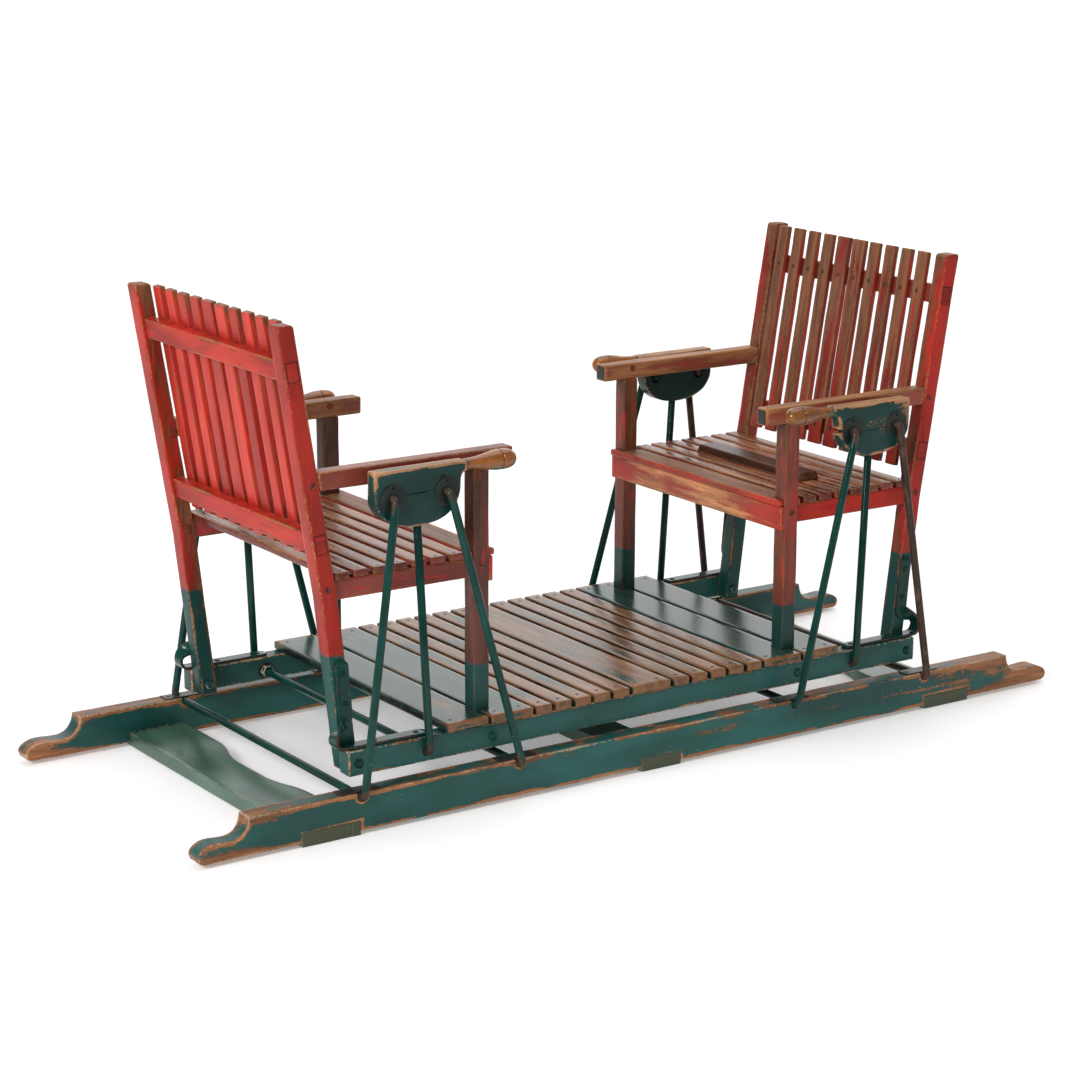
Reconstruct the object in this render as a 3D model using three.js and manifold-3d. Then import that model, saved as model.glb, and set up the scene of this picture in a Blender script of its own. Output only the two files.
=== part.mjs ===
// Hand-propelled platform glider with two facing slatted seats, in millimetres, +Z up.
// X runs along the base rails, -Y is the near side, and z = 0 is the floor under the cross boards.
// The platform hangs from lever blocks that rock on round-rod bails, so a pull on the handles swings it.
import * as THREE from 'three';
import { mergeVertices } from 'three/addons/utils/BufferGeometryUtils.js';
import Module from 'manifold-3d';

const wasm = await Module();
wasm.setup();

// Clearances shared by all joints
const FIT = 0.3;
const OVERRUN = 10;
const LET_IN = 0.5;

// Facet counts
const CURVE_STEPS = 7;
const WASHER_SIDES = 24;
const BORE_SIDES = 18;
const NAIL_SIDES = 8;
const NOSE_SIDES = 16;

// Base rails
const BASE_LENGTH = 2134;
const BASE_OUTER_Y = 380;
const BASE_RAIL_THICK = 42;
const BASE_RAIL_HEIGHT = 75;
const TAIL_LENGTH = 122;
const SHORT_TAIL_TRIM = 16;

// Cross boards under the base rails
const BOARD_THICK = 29;
const BOARD_NOTCH = 21;
const BOARD_END_SETBACK = 233;
const BOARD_WIDTH = 127;
const BOARD_WAIST_CUT = 28;
const BOARD_WAIST_HALF = 45;
const BOARD_CURVE_RUN = 155;
const CENTRE_BOARD_WIDTH = 98;
const FILLER_WIDTH = 20;

// Iron keeper plates over the bail grooves
const KEEPER_LENGTH = 86;
const KEEPER_WIDTH = 30;
const KEEPER_THICK = 2;

// Round rod bails and their pivots
const ROD_RADIUS = 8;
const ROD_BEND = 10;
const ROD_SIDES = 12;
const BEND_STEPS = 4;
const BASE_PIVOT_OUTER_X = 704;
const BASE_PIVOT_INNER_X = 346;
const TOP_PIVOT_OUTER_X = 617;
const TOP_PIVOT_INNER_X = 498;
const TOP_PIVOT_Z = 637;
const STUB_PROUD = 3;
const PIVOT_PLAY = 3.8;

// Middle bails, which carry the platform from the lever blocks
const HANGER_X = 534;
const HANGER_Z = 123;
const HANGER_TOP_Z = 622;

// Lever blocks with their turned handles
const LEVER_CENTRE_Y = 342;
const LEVER_THICK = 30;
const LEVER_TOP_Z = 690;
const LEVER_DEPTH = 113;
const LEVER_OUTER_REACH = 97;
const LEVER_INNER_REACH = 92;
const LEVER_SHOULDER_REACH = 106;
const LEVER_SHOULDER_DROP = 20;
const LEVER_SHOULDER_FILLET = 22;
const HANDLE_END_X = 334;
const HANDLE_NECK_RADIUS = 11;
const HANDLE_SWELL_RADIUS = 20;
const HANDLE_SIDES = 16;

// Iron washers on the lever blocks
const WASHER_RADIUS = 27;
const WASHER_THICK = 2.2;
const NAIL_RADIUS = 2;
const NAIL_EDGE = 6;

// Platform rails and deck slats
const PLATFORM_LENGTH = 1415.4;
const DECK_RAIL_INNER_Y = 303;
const DECK_RAIL_THICK = 36;
const DECK_RAIL_BOTTOM = 103;
const DECK_RAIL_HEIGHT = 50;
const DECK_SLAT_THICK = 17.5;
const DECK_SLAT_OVERHANG = 6;
const DECK_SLAT_BEVEL = 5;
const CENTRE_SLAT_WIDTH = 94;
const NARROW_SLAT_WIDTH = 38;
const NARROW_SLATS = 5;
const DECK_GAP = 9.3;
const WIDE_SLAT_WIDTHS = [98, 95];
const WIDE_GAP = 6.8;
const COLLAR_RADIUS = 18;
const COLLAR_THICK = 3;

// Seat posts
const POST = 35;
const FRONT_POST_X = 367.7;
const FRONT_POST_FOOT_Z = 105;
const BACK_POST_FOOT_X = 701;
const BACK_POST_FOOT_Z = 104;
const BACK_POST_BEND_X = 742;
const BACK_POST_BEND_Z = 450;
const BACK_POST_TOP_X = 826;
const BACK_POST_TOP_Z = 972;
const POST_CHAMFER = 4;

// Arms
const ARM_BOTTOM_Z = 656;
const ARM_HEIGHT = 36;
const ARM_FRONT_X = 313;
const ARM_EASE = 3;

// Stub tenons of the arms, front posts and seat side rails
const TENON_LENGTH = 18;
const TENON_THICK = 14;
const TENON_SHOULDER = 6;

// Seat frames
const SEAT_RAIL_Z = 441;
const SEAT_RAIL_HEIGHT = 39;
const SEAT_RAIL_SETBACK = 7;
const SEAT_RAIL_THICK = 22;
const SEAT_SLAT_THICK = 14;
const SEAT_SLAT_OVERHANG = 4;
const SEAT_SLAT_BEVEL = 4;
const SEAT_SLAT_WIDTH = 32.5;
const SEAT_SLATS = 7;
const SEAT_REAR_GAP = 1.5;
const FRONT_SLAT_X = 352;
const FRONT_SLAT_WIDTH = 60;
const APRON_THICK = 9.7;
const APRON_HEIGHT = 50;
const APRON_END_SETBACK = 1;

// Back panels
const BACK_RAIL_THICK = 22;
const BACK_RAIL_HEIGHT = 40;
const BACK_RAIL_TENON_TRIM = 1.5;
const UPPER_RAIL_DROP = 85;
const LOWER_RAIL_RISE = 42;
const BACK_SLATS = 10;
const BACK_SLAT_WIDTH = 31;
const BACK_MIDDLE_SLAT_WIDTH = 39;
const BACK_SLAT_PITCH = 52;
const BACK_SLAT_THICK = 13.5;
const BACK_SLAT_DROP = 2;
const BACK_SLAT_BOTTOM_Z = 512;
const BACK_SLAT_BEVEL = 3;

// Twisted iron braces between the back posts and the platform rails
const BRACE_WIDTH = 29;
const BRACE_THICK = 6;
const BRACE_TOP_X = 704;
const BRACE_TOP_Z = 325;
const BRACE_TWIST_Z = 215;
const BRACE_TWIST_X = 695;
const BRACE_HEEL_X = 729;
const BRACE_HEEL_RISE = 17;
const BRACE_TOE_X = 526;
const BRACE_NECK_STEPS = 10;
const BRACE_HEEL_STEPS = 5;
const BRACE_END_TAPER = 7;

// Spare slat that lies on the right seat
const SPARE_LENGTH = 366;
const SPARE_WIDTH = 50;
const SPARE_THICK = 17;
const SPARE_X = 528;
const SPARE_Y = -6;
const SPARE_BEVEL = 9;

// Heights and places worked out from the sizes above
const BOARD_OUTER_X = BASE_LENGTH / 2 - BOARD_END_SETBACK;
const BASE_RAIL_BOTTOM = BOARD_THICK - BOARD_NOTCH;
const BASE_RAIL_TOP = BASE_RAIL_BOTTOM + BASE_RAIL_HEIGHT;
const BASE_INNER_Y = BASE_OUTER_Y - BASE_RAIL_THICK;
const BASE_PIVOT_Z = BASE_RAIL_TOP - ROD_RADIUS - FIT;
const DECK_RAIL_OUTER_Y = DECK_RAIL_INNER_Y + DECK_RAIL_THICK;
const DECK_RAIL_TOP = DECK_RAIL_BOTTOM + DECK_RAIL_HEIGHT;
const DECK_SLAT_HALF = DECK_RAIL_OUTER_Y + DECK_SLAT_OVERHANG;
const DECK_TOP = DECK_RAIL_TOP + DECK_SLAT_THICK;
const POST_OUTER_Y = DECK_RAIL_INNER_Y;
const POST_INNER_Y = POST_OUTER_Y - POST;
const ARM_TOP_Z = ARM_BOTTOM_Z + ARM_HEIGHT;
const SEAT_RAIL_TOP = SEAT_RAIL_Z + SEAT_RAIL_HEIGHT;
const SEAT_RAIL_OUTER_Y = POST_OUTER_Y - SEAT_RAIL_SETBACK;
const SEAT_TOP = SEAT_RAIL_TOP + SEAT_SLAT_THICK;
const SEAT_SLAT_BOTTOM = SEAT_RAIL_TOP - LET_IN;
const SEAT_SLAT_HALF = SEAT_RAIL_OUTER_Y + SEAT_SLAT_OVERHANG;
const APRON_HALF = POST_OUTER_Y - APRON_END_SETBACK;
const BACK_SLAT_TOP_Z = BACK_POST_TOP_Z - BACK_SLAT_DROP;
const UPPER_RAIL_Z = BACK_SLAT_TOP_Z - UPPER_RAIL_DROP;
const LOWER_RAIL_Z = BACK_SLAT_BOTTOM_Z + LOWER_RAIL_RISE;
const LEVER_INNER_Y = LEVER_CENTRE_Y - LEVER_THICK / 2;
const LEVER_OUTER_Y = LEVER_CENTRE_Y + LEVER_THICK / 2;
const LEVER_CENTRE_X = (TOP_PIVOT_OUTER_X + TOP_PIVOT_INNER_X) / 2;
const HANDLE_Z = LEVER_TOP_Z - HANDLE_NECK_RADIUS + LET_IN;
const WASHER_INNER_Y = LEVER_OUTER_Y + FIT;
const BAIL_TOP_Y = WASHER_INNER_Y + WASHER_THICK + FIT + ROD_BEND;
const BAIL_BASE_Y = BASE_OUTER_Y + FIT + ROD_BEND;
const HANGER_BASE_Y = DECK_RAIL_OUTER_Y + FIT + ROD_BEND;
const BORE_RADIUS = ROD_RADIUS + FIT;
const LOOSE_BORE_RADIUS = ROD_RADIUS + PIVOT_PLAY;

// Finishes
const FINISHES = {
  greenPaint: { color: 0x2f5650, roughness: 0.5, metalness: 0 },
  greenIron: { color: 0x27544c, roughness: 0.4, metalness: 0.1 },
  redPaint: { color: 0x8e3a38, roughness: 0.55, metalness: 0 },
  wornDeck: { color: 0x5c5a4c, roughness: 0.45, metalness: 0 },
  bareIron: { color: 0x4a3a33, roughness: 0.5, metalness: 0.7 },
  darkWood: { color: 0x5a3a30, roughness: 0.5, metalness: 0 },
  greenWood: { color: 0x4d6a58, roughness: 0.6, metalness: 0 },
};

// Solids: joining and cutting closed meshes

function toSolid(geometry) {
  const bare = geometry.clone();
  bare.deleteAttribute('normal');
  bare.deleteAttribute('uv');
  const merged = mergeVertices(bare);
  return new wasm.Manifold(new wasm.Mesh({
    numProp: 3,
    vertProperties: new Float32Array(merged.attributes.position.array),
    triVerts: new Uint32Array(merged.index.array),
  }));
}

function toGeometry(solid) {
  const mesh = solid.getMesh();
  const geometry = new THREE.BufferGeometry();
  geometry.setAttribute('position', new THREE.BufferAttribute(mesh.vertProperties, 3));
  geometry.setIndex(new THREE.BufferAttribute(mesh.triVerts, 1));
  return geometry;
}

function join(geometries) {
  const [first, ...rest] = geometries.map(toSolid);
  return toGeometry(rest.reduce((whole, solid) => whole.add(solid), first));
}

function cut(geometry, tools) {
  return toGeometry(tools.map(toSolid).reduce((whole, tool) => whole.subtract(tool), toSolid(geometry)));
}

// Forms

function box([x0, x1], [y0, y1], [z0, z1]) {
  const geometry = new THREE.BoxGeometry(Math.abs(x1 - x0), Math.abs(y1 - y0), Math.abs(z1 - z0));
  return geometry.translate((x0 + x1) / 2, (y0 + y1) / 2, (z0 + z1) / 2);
}

function shapeOf(points) {
  return new THREE.Shape(points.map(([a, b]) => new THREE.Vector2(a, b)));
}

function circlePoints(a, b, radius, sides) {
  return Array.from({ length: sides }, (_, i) => {
    const angle = (2 * Math.PI * i) / sides;
    return [a + radius * Math.cos(angle), b + radius * Math.sin(angle)];
  });
}

// An outline in X and Z, carried along Y between two places.
function sideOn(shape, [y0, y1], curveSegments = CURVE_STEPS) {
  const depth = Math.abs(y1 - y0);
  const geometry = new THREE.ExtrudeGeometry(shape, { depth, bevelEnabled: false, curveSegments });
  return geometry.rotateX(Math.PI / 2).translate(0, Math.max(y0, y1), 0);
}

// An outline in X and Y, carried up Z between two heights.
function planOn(shape, [z0, z1], curveSegments = CURVE_STEPS) {
  const geometry = new THREE.ExtrudeGeometry(shape, { depth: z1 - z0, bevelEnabled: false, curveSegments });
  return geometry.translate(0, 0, z0);
}

// An outline in Y and Z, carried along X between two places.
function endOn(shape, [x0, x1]) {
  const geometry = new THREE.ExtrudeGeometry(shape, { depth: x1 - x0, bevelEnabled: false });
  return geometry.rotateX(Math.PI / 2).rotateZ(Math.PI / 2).translate(x0, 0, 0);
}

// A hole or pin along Y.
function roundAlongY(x, z, radius, ySpan, sides = WASHER_SIDES) {
  return sideOn(shapeOf(circlePoints(x, z, radius, sides)), ySpan);
}

function mirroredInY(geometry) {
  const flipped = mergeVertices(geometry.clone()).scale(1, -1, 1);
  const index = flipped.index.array;
  for (let i = 0; i < index.length; i += 3) {
    [index[i], index[i + 1]] = [index[i + 1], index[i]];
  }
  return flipped;
}

// A board whose two ends are bevelled along their upper edge, lying across the glider.
function crossSlat([x0, x1], halfLength, [z0, z1], bevel) {
  const outline = [
    [-halfLength, z0], [halfLength, z0], [halfLength, z1 - bevel], [halfLength - bevel, z1],
    [bevel - halfLength, z1], [-halfLength, z1 - bevel],
  ];
  return endOn(shapeOf(outline), [x0, x1]);
}

// Rods bent from round bar

// A path of straight runs whose corners are rounded, with one ring at each end of a run and on each bend step.
class BentPath extends THREE.Curve {
  constructor(corners, bend) {
    super();
    this.rings = [];
    const last = corners.length - 1;
    corners.forEach((corner, i) => {
      if (i === 0 || i === last) {
        const other = i === 0 ? corners[1] : corners[last - 1];
        const tangent = i === 0 ? other.clone().sub(corner) : corner.clone().sub(other);
        this.rings.push({ point: corner, tangent: tangent.normalize() });
        return;
      }
      const before = corner.clone().sub(corners[i - 1]).normalize();
      const after = corners[i + 1].clone().sub(corner).normalize();
      const angle = before.angleTo(after);
      const inward = after.clone().sub(before).normalize();
      const centre = corner.clone().addScaledVector(inward, bend / Math.cos(angle / 2));
      const axis = before.clone().cross(after).normalize();
      const start = corner.clone().addScaledVector(before, -bend * Math.tan(angle / 2)).sub(centre);
      for (let step = 0; step <= BEND_STEPS; step += 1) {
        const turn = (angle * step) / BEND_STEPS;
        this.rings.push({
          point: start.clone().applyAxisAngle(axis, turn).add(centre),
          tangent: before.clone().applyAxisAngle(axis, turn),
        });
      }
    });
  }

  ringAt(u) {
    return this.rings[Math.round(u * (this.rings.length - 1))];
  }

  getPoint(u) {
    return this.ringAt(u).point.clone();
  }

  getPointAt(u) {
    return this.getPoint(u);
  }

  getTangentAt(u) {
    return this.ringAt(u).tangent.clone();
  }
}

function bentRod(corners, radius, bend = ROD_BEND) {
  const path = new BentPath(corners.map((corner) => new THREE.Vector3(...corner)), bend);
  return new THREE.ExtrudeGeometry(shapeOf(circlePoints(0, 0, radius, ROD_SIDES)), {
    steps: path.rings.length - 1,
    extrudePath: path,
    bevelEnabled: false,
  });
}

// Base frame

// One scrolled tail as shares of its length and of the rail's height: a cove, a low hump and a round nose.
const TAIL_COVE_SHARES = [[0.02, 0.7], [0.1, 0.5], [0.3, 0.46]];
const TAIL_HUMP_SHARES = [[0.5, 0.44], [0.62, 0.52], [0.8, 0.46]];
const TAIL_NOSE_SHARES = [[0.93, 0.4], [1, 0.3], [1, 0.18]];
const TAIL_TOE_SHARES = [[0.97, 0.05], [0.9, 0]];

function baseRailOutline(leftTail, rightTail) {
  const half = BASE_LENGTH / 2;
  const shoulder = half - TAIL_LENGTH;
  const shape = new THREE.Shape();
  const at = (sign, tail, [along, up]) => [
    sign * (shoulder + along * tail), BASE_RAIL_BOTTOM + up * BASE_RAIL_HEIGHT,
  ];
  const right = (shares) => at(1, rightTail, shares);
  const left = (shares) => at(-1, leftTail, shares);
  const curve = (shares, place) => shape.bezierCurveTo(...shares.flatMap(place));
  shape.moveTo(...right([0, 1]));
  curve(TAIL_COVE_SHARES, right);
  curve(TAIL_HUMP_SHARES, right);
  curve(TAIL_NOSE_SHARES, right);
  TAIL_TOE_SHARES.forEach((share) => shape.lineTo(...right(share)));
  [...TAIL_TOE_SHARES].reverse().forEach((share) => shape.lineTo(...left(share)));
  shape.lineTo(...left(TAIL_NOSE_SHARES[2]));
  const back = (from, ends) => shape.bezierCurveTo(...left(ends[1]), ...left(ends[0]), ...left(from));
  back(TAIL_HUMP_SHARES[2], TAIL_NOSE_SHARES);
  back(TAIL_COVE_SHARES[2], TAIL_HUMP_SHARES);
  back([0, 1], TAIL_COVE_SHARES);
  return shape;
}

// The three board notches of a base rail, as spans along X.
function boardSpans() {
  const inner = BOARD_OUTER_X - BOARD_WIDTH;
  return [
    [-BOARD_OUTER_X, -inner],
    [-CENTRE_BOARD_WIDTH / 2, CENTRE_BOARD_WIDTH / 2],
    [inner, BOARD_OUTER_X],
  ];
}

function bailGroove(x, ySpan) {
  const shape = new THREE.Shape();
  shape.moveTo(x + BORE_RADIUS, BASE_RAIL_TOP + OVERRUN);
  shape.lineTo(x - BORE_RADIUS, BASE_RAIL_TOP + OVERRUN);
  shape.lineTo(x - BORE_RADIUS, BASE_PIVOT_Z);
  shape.absarc(x, BASE_PIVOT_Z, BORE_RADIUS, Math.PI, 2 * Math.PI, false);
  return sideOn(shape, ySpan);
}

const BASE_PIVOTS_X = [-BASE_PIVOT_OUTER_X, -BASE_PIVOT_INNER_X, BASE_PIVOT_INNER_X, BASE_PIVOT_OUTER_X];

function baseRail(sign) {
  const ySpan = [sign * BASE_INNER_Y, sign * BASE_OUTER_Y];
  const through = [sign * (BASE_INNER_Y - OVERRUN), sign * (BASE_OUTER_Y + OVERRUN)];
  const leftTail = sign < 0 ? TAIL_LENGTH - SHORT_TAIL_TRIM : TAIL_LENGTH;
  const notches = boardSpans().map(([x0, x1]) => box([x0 - FIT, x1 + FIT], through, [-OVERRUN, BOARD_THICK]));
  const grooves = BASE_PIVOTS_X.map((x) => bailGroove(x, through));
  return cut(sideOn(baseRailOutline(leftTail, TAIL_LENGTH), ySpan), [...notches, ...grooves]);
}

// An end board: straight outside, and drawn in to a waist on its inner edge.
function endBoardShape(sign) {
  const inner = BOARD_OUTER_X - BOARD_WIDTH;
  const waist = inner + BOARD_WAIST_CUT;
  const curveEnd = BOARD_WAIST_HALF + BOARD_CURVE_RUN;
  const curveMiddle = BOARD_WAIST_HALF + BOARD_CURVE_RUN / 2;
  const shape = new THREE.Shape();
  shape.moveTo(sign * BOARD_OUTER_X, -BASE_OUTER_Y);
  shape.lineTo(sign * BOARD_OUTER_X, BASE_OUTER_Y);
  shape.lineTo(sign * inner, BASE_OUTER_Y);
  shape.lineTo(sign * inner, curveEnd);
  shape.bezierCurveTo(sign * inner, curveMiddle, sign * waist, curveMiddle, sign * waist, BOARD_WAIST_HALF);
  shape.lineTo(sign * waist, -BOARD_WAIST_HALF);
  shape.bezierCurveTo(sign * waist, -curveMiddle, sign * inner, -curveMiddle, sign * inner, -curveEnd);
  shape.lineTo(sign * inner, -BASE_OUTER_Y);
  return shape;
}

function fillerSpan() {
  const inner = BOARD_OUTER_X - BOARD_WIDTH;
  return [-inner - FILLER_WIDTH, -inner];
}

function crossBoards() {
  const heights = [0, BOARD_THICK];
  const [filler0, filler1] = fillerSpan();
  const corner = box(
    [filler0 - FIT, filler1 + OVERRUN], [-BASE_OUTER_Y - OVERRUN, -BASE_INNER_Y + FIT],
    [-OVERRUN, BOARD_THICK + OVERRUN],
  );
  return {
    cross_board_left: cut(planOn(endBoardShape(-1), heights), [corner]),
    cross_board_centre: box(
      [-CENTRE_BOARD_WIDTH / 2, CENTRE_BOARD_WIDTH / 2], [-BASE_OUTER_Y, BASE_OUTER_Y], heights,
    ),
    cross_board_right: planOn(endBoardShape(1), heights),
    cross_board_filler: box([filler0, filler1], [-BASE_OUTER_Y, -BASE_INNER_Y], heights),
  };
}

function keeper(x, sign) {
  const middle = sign * (BASE_OUTER_Y - BASE_RAIL_THICK / 2);
  return box(
    [x - KEEPER_LENGTH / 2, x + KEEPER_LENGTH / 2], [middle - KEEPER_WIDTH / 2, middle + KEEPER_WIDTH / 2],
    [BASE_RAIL_TOP, BASE_RAIL_TOP + KEEPER_THICK],
  );
}

// Bails

function baseBail(baseX, topX) {
  const stub = LEVER_INNER_Y - STUB_PROUD;
  return bentRod([
    [topX, -stub, TOP_PIVOT_Z], [topX, -BAIL_TOP_Y, TOP_PIVOT_Z], [baseX, -BAIL_BASE_Y, BASE_PIVOT_Z],
    [baseX, BAIL_BASE_Y, BASE_PIVOT_Z], [topX, BAIL_TOP_Y, TOP_PIVOT_Z], [topX, stub, TOP_PIVOT_Z],
  ], ROD_RADIUS);
}

// The middle bail hangs from both lever blocks and runs through both platform rails.
function hangerCorners(tipExtra = 0) {
  const top = HANGER_TOP_Z + tipExtra;
  return [
    [LEVER_CENTRE_X, -LEVER_CENTRE_Y, top], [HANGER_X, -HANGER_BASE_Y, HANGER_Z],
    [HANGER_X, HANGER_BASE_Y, HANGER_Z], [LEVER_CENTRE_X, LEVER_CENTRE_Y, top],
  ];
}

// Lever blocks

const leverBellyShare = 0.62;
const leverFlankShare = 0.42;

// The block is a deep half oval under a flat top, with a shoulder that runs out to the handle's neck.
function leverShape() {
  const top = LEVER_TOP_Z;
  const bottom = top - LEVER_DEPTH;
  const outer = LEVER_CENTRE_X + LEVER_OUTER_REACH;
  const inner = LEVER_CENTRE_X - LEVER_INNER_REACH;
  const shoulder = LEVER_CENTRE_X - LEVER_SHOULDER_REACH;
  const shoulderBottom = top - LEVER_SHOULDER_DROP;
  const shape = new THREE.Shape();
  shape.moveTo(outer, top);
  shape.lineTo(shoulder, top);
  shape.lineTo(shoulder, shoulderBottom);
  shape.quadraticCurveTo(inner, shoulderBottom, inner, shoulderBottom - LEVER_SHOULDER_FILLET);
  shape.bezierCurveTo(
    inner, bottom + (TOP_PIVOT_Z - bottom) * leverFlankShare,
    LEVER_CENTRE_X - LEVER_INNER_REACH * leverBellyShare, bottom, LEVER_CENTRE_X, bottom,
  );
  shape.bezierCurveTo(
    LEVER_CENTRE_X + LEVER_OUTER_REACH * leverBellyShare, bottom,
    outer, bottom + (TOP_PIVOT_Z - bottom) * leverFlankShare, outer, TOP_PIVOT_Z,
  );
  return shape;
}

// The turned handle as shares of its length from the neck and of its radius: swell, groove and round knob.
const HANDLE_PROFILE_SHARES = [
  [0, 0.55], [0.14, 0.56], [0.3, 0.66], [0.45, 0.84], [0.58, 0.97], [0.68, 1], [0.7, 0.93], [0.72, 1],
  [0.82, 0.97], [0.91, 0.82], [0.97, 0.5], [1, 0],
];

function leverHandle(y) {
  const root = LEVER_CENTRE_X - LEVER_SHOULDER_REACH;
  const length = root - HANDLE_END_X;
  const profile = HANDLE_PROFILE_SHARES.map(([along, out]) => {
    return new THREE.Vector2(out * HANDLE_SWELL_RADIUS, along * length);
  });
  const neck = HANDLE_PROFILE_SHARES[0][1] * HANDLE_SWELL_RADIUS;
  profile.unshift(new THREE.Vector2(neck, -OVERRUN));
  profile.unshift(new THREE.Vector2(0, -OVERRUN));
  const turned = new THREE.LatheGeometry(profile, HANDLE_SIDES);
  return turned.rotateZ(Math.PI / 2).translate(root, y, HANDLE_Z);
}

function lever(sign, outerBore, innerBore) {
  const ySpan = [sign * LEVER_INNER_Y, sign * LEVER_OUTER_Y];
  const through = [sign * (LEVER_INNER_Y - OVERRUN), sign * (LEVER_OUTER_Y + OVERRUN)];
  const whole = join([sideOn(leverShape(), ySpan), leverHandle(sign * LEVER_CENTRE_Y)]);
  return cut(whole, [
    roundAlongY(TOP_PIVOT_OUTER_X, TOP_PIVOT_Z, outerBore, through),
    roundAlongY(TOP_PIVOT_INNER_X, TOP_PIVOT_Z, innerBore, through),
    bentRod(hangerCorners(FIT), BORE_RADIUS),
  ]);
}

// A loose iron washer on a bail's end, with a small hole near its upper rim. It covers the block's wide bore.
function washer(x, sign) {
  const ring = shapeOf(circlePoints(x, TOP_PIVOT_Z, WASHER_RADIUS, WASHER_SIDES));
  const bore = circlePoints(x, TOP_PIVOT_Z, BORE_RADIUS, BORE_SIDES);
  const nail = circlePoints(x, TOP_PIVOT_Z + WASHER_RADIUS - NAIL_EDGE, NAIL_RADIUS, NAIL_SIDES);
  ring.holes.push(shapeOf(bore), shapeOf(nail));
  return sideOn(ring, [sign * WASHER_INNER_Y, sign * (WASHER_INNER_Y + WASHER_THICK)]);
}

// Platform

// Deck slats from the middle outwards, as spans along X on one side.
function deckSlatSpans() {
  const spans = [];
  let edge = CENTRE_SLAT_WIDTH / 2;
  for (let i = 0; i < NARROW_SLATS; i += 1) {
    edge += DECK_GAP;
    spans.push([edge, edge + NARROW_SLAT_WIDTH]);
    edge += NARROW_SLAT_WIDTH;
  }
  WIDE_SLAT_WIDTHS.forEach((width) => {
    edge += WIDE_GAP;
    spans.push([edge, edge + width]);
    edge += width;
  });
  return spans;
}

function frontPostBox(grow = 0) {
  return [
    [FRONT_POST_X - grow, FRONT_POST_X + POST + grow], [POST_INNER_Y - grow, POST_OUTER_Y + grow],
  ];
}

function deckFrame() {
  const heights = [DECK_RAIL_TOP - LET_IN, DECK_TOP];
  const half = CENTRE_SLAT_WIDTH / 2;
  const spans = [[-half, half]];
  deckSlatSpans().forEach(([x0, x1]) => spans.push([x0, x1], [-x1, -x0]));
  const slats = spans.map((span) => crossSlat(span, DECK_SLAT_HALF, heights, DECK_SLAT_BEVEL));
  const [postX, postY] = frontPostBox(FIT);
  const posts = [];
  [[1, 1], [1, -1], [-1, 1], [-1, -1]].forEach(([sx, sy]) => {
    posts.push(box(
      postX.map((x) => sx * x), postY.map((y) => sy * y), [DECK_RAIL_BOTTOM, DECK_TOP + OVERRUN],
    ));
  });
  const notched = slats.map((slat) => cut(slat, posts));
  const rails = [-1, 1].map((sign) => {
    const through = [sign * (DECK_RAIL_INNER_Y - OVERRUN), sign * (DECK_RAIL_OUTER_Y + OVERRUN)];
    const rail = box(
      [-PLATFORM_LENGTH / 2, PLATFORM_LENGTH / 2], [sign * DECK_RAIL_INNER_Y, sign * DECK_RAIL_OUTER_Y],
      [DECK_RAIL_BOTTOM, DECK_RAIL_TOP],
    );
    return cut(rail, [-HANGER_X, HANGER_X].map((x) => roundAlongY(x, HANGER_Z, BORE_RADIUS, through)));
  });
  return join([...rails, ...notched]);
}

function collar(sign) {
  const ring = shapeOf(circlePoints(HANGER_X, HANGER_Z, COLLAR_RADIUS, BORE_SIDES));
  ring.holes.push(shapeOf(circlePoints(HANGER_X, HANGER_Z, BORE_RADIUS, BORE_SIDES)));
  return sideOn(ring, [sign * (DECK_RAIL_INNER_Y - COLLAR_THICK), sign * DECK_RAIL_INNER_Y]);
}

// Seats, drawn for the right one; the left one is the same turned half round

const LOWER_LEAN = (BACK_POST_BEND_X - BACK_POST_FOOT_X) / (BACK_POST_BEND_Z - BACK_POST_FOOT_Z);
const UPPER_LEAN = (BACK_POST_TOP_X - BACK_POST_BEND_X) / (BACK_POST_TOP_Z - BACK_POST_BEND_Z);
const RECLINE = Math.atan(UPPER_LEAN);

// The rear edge of the back post at a height.
function backEdgeX(z) {
  const lean = z < BACK_POST_BEND_Z ? LOWER_LEAN : UPPER_LEAN;
  return BACK_POST_BEND_X + lean * (z - BACK_POST_BEND_Z);
}

function backPostOutline() {
  const top = BACK_POST_TOP_Z;
  const under = top - POST_CHAMFER;
  return [
    [backEdgeX(BACK_POST_FOOT_Z), BACK_POST_FOOT_Z], [BACK_POST_BEND_X, BACK_POST_BEND_Z],
    [backEdgeX(under), under], [backEdgeX(top) - POST_CHAMFER, top],
    [backEdgeX(top) - POST + POST_CHAMFER, top], [backEdgeX(under) - POST, under],
    [BACK_POST_BEND_X - POST, BACK_POST_BEND_Z], [backEdgeX(BACK_POST_FOOT_Z) - POST, BACK_POST_FOOT_Z],
  ];
}

// Everything behind the front face of the back posts, less a fitting gap.
function behindBackPosts() {
  const far = BASE_LENGTH / 2;
  const face = (z) => [backEdgeX(z) - POST - FIT, z];
  const outline = [
    face(BACK_POST_FOOT_Z), face(BACK_POST_BEND_Z), face(BACK_POST_TOP_Z),
    [far, BACK_POST_TOP_Z], [far, BACK_POST_FOOT_Z],
  ];
  return sideOn(shapeOf([...outline].reverse()), [-BASE_OUTER_Y, BASE_OUTER_Y]);
}

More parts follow.
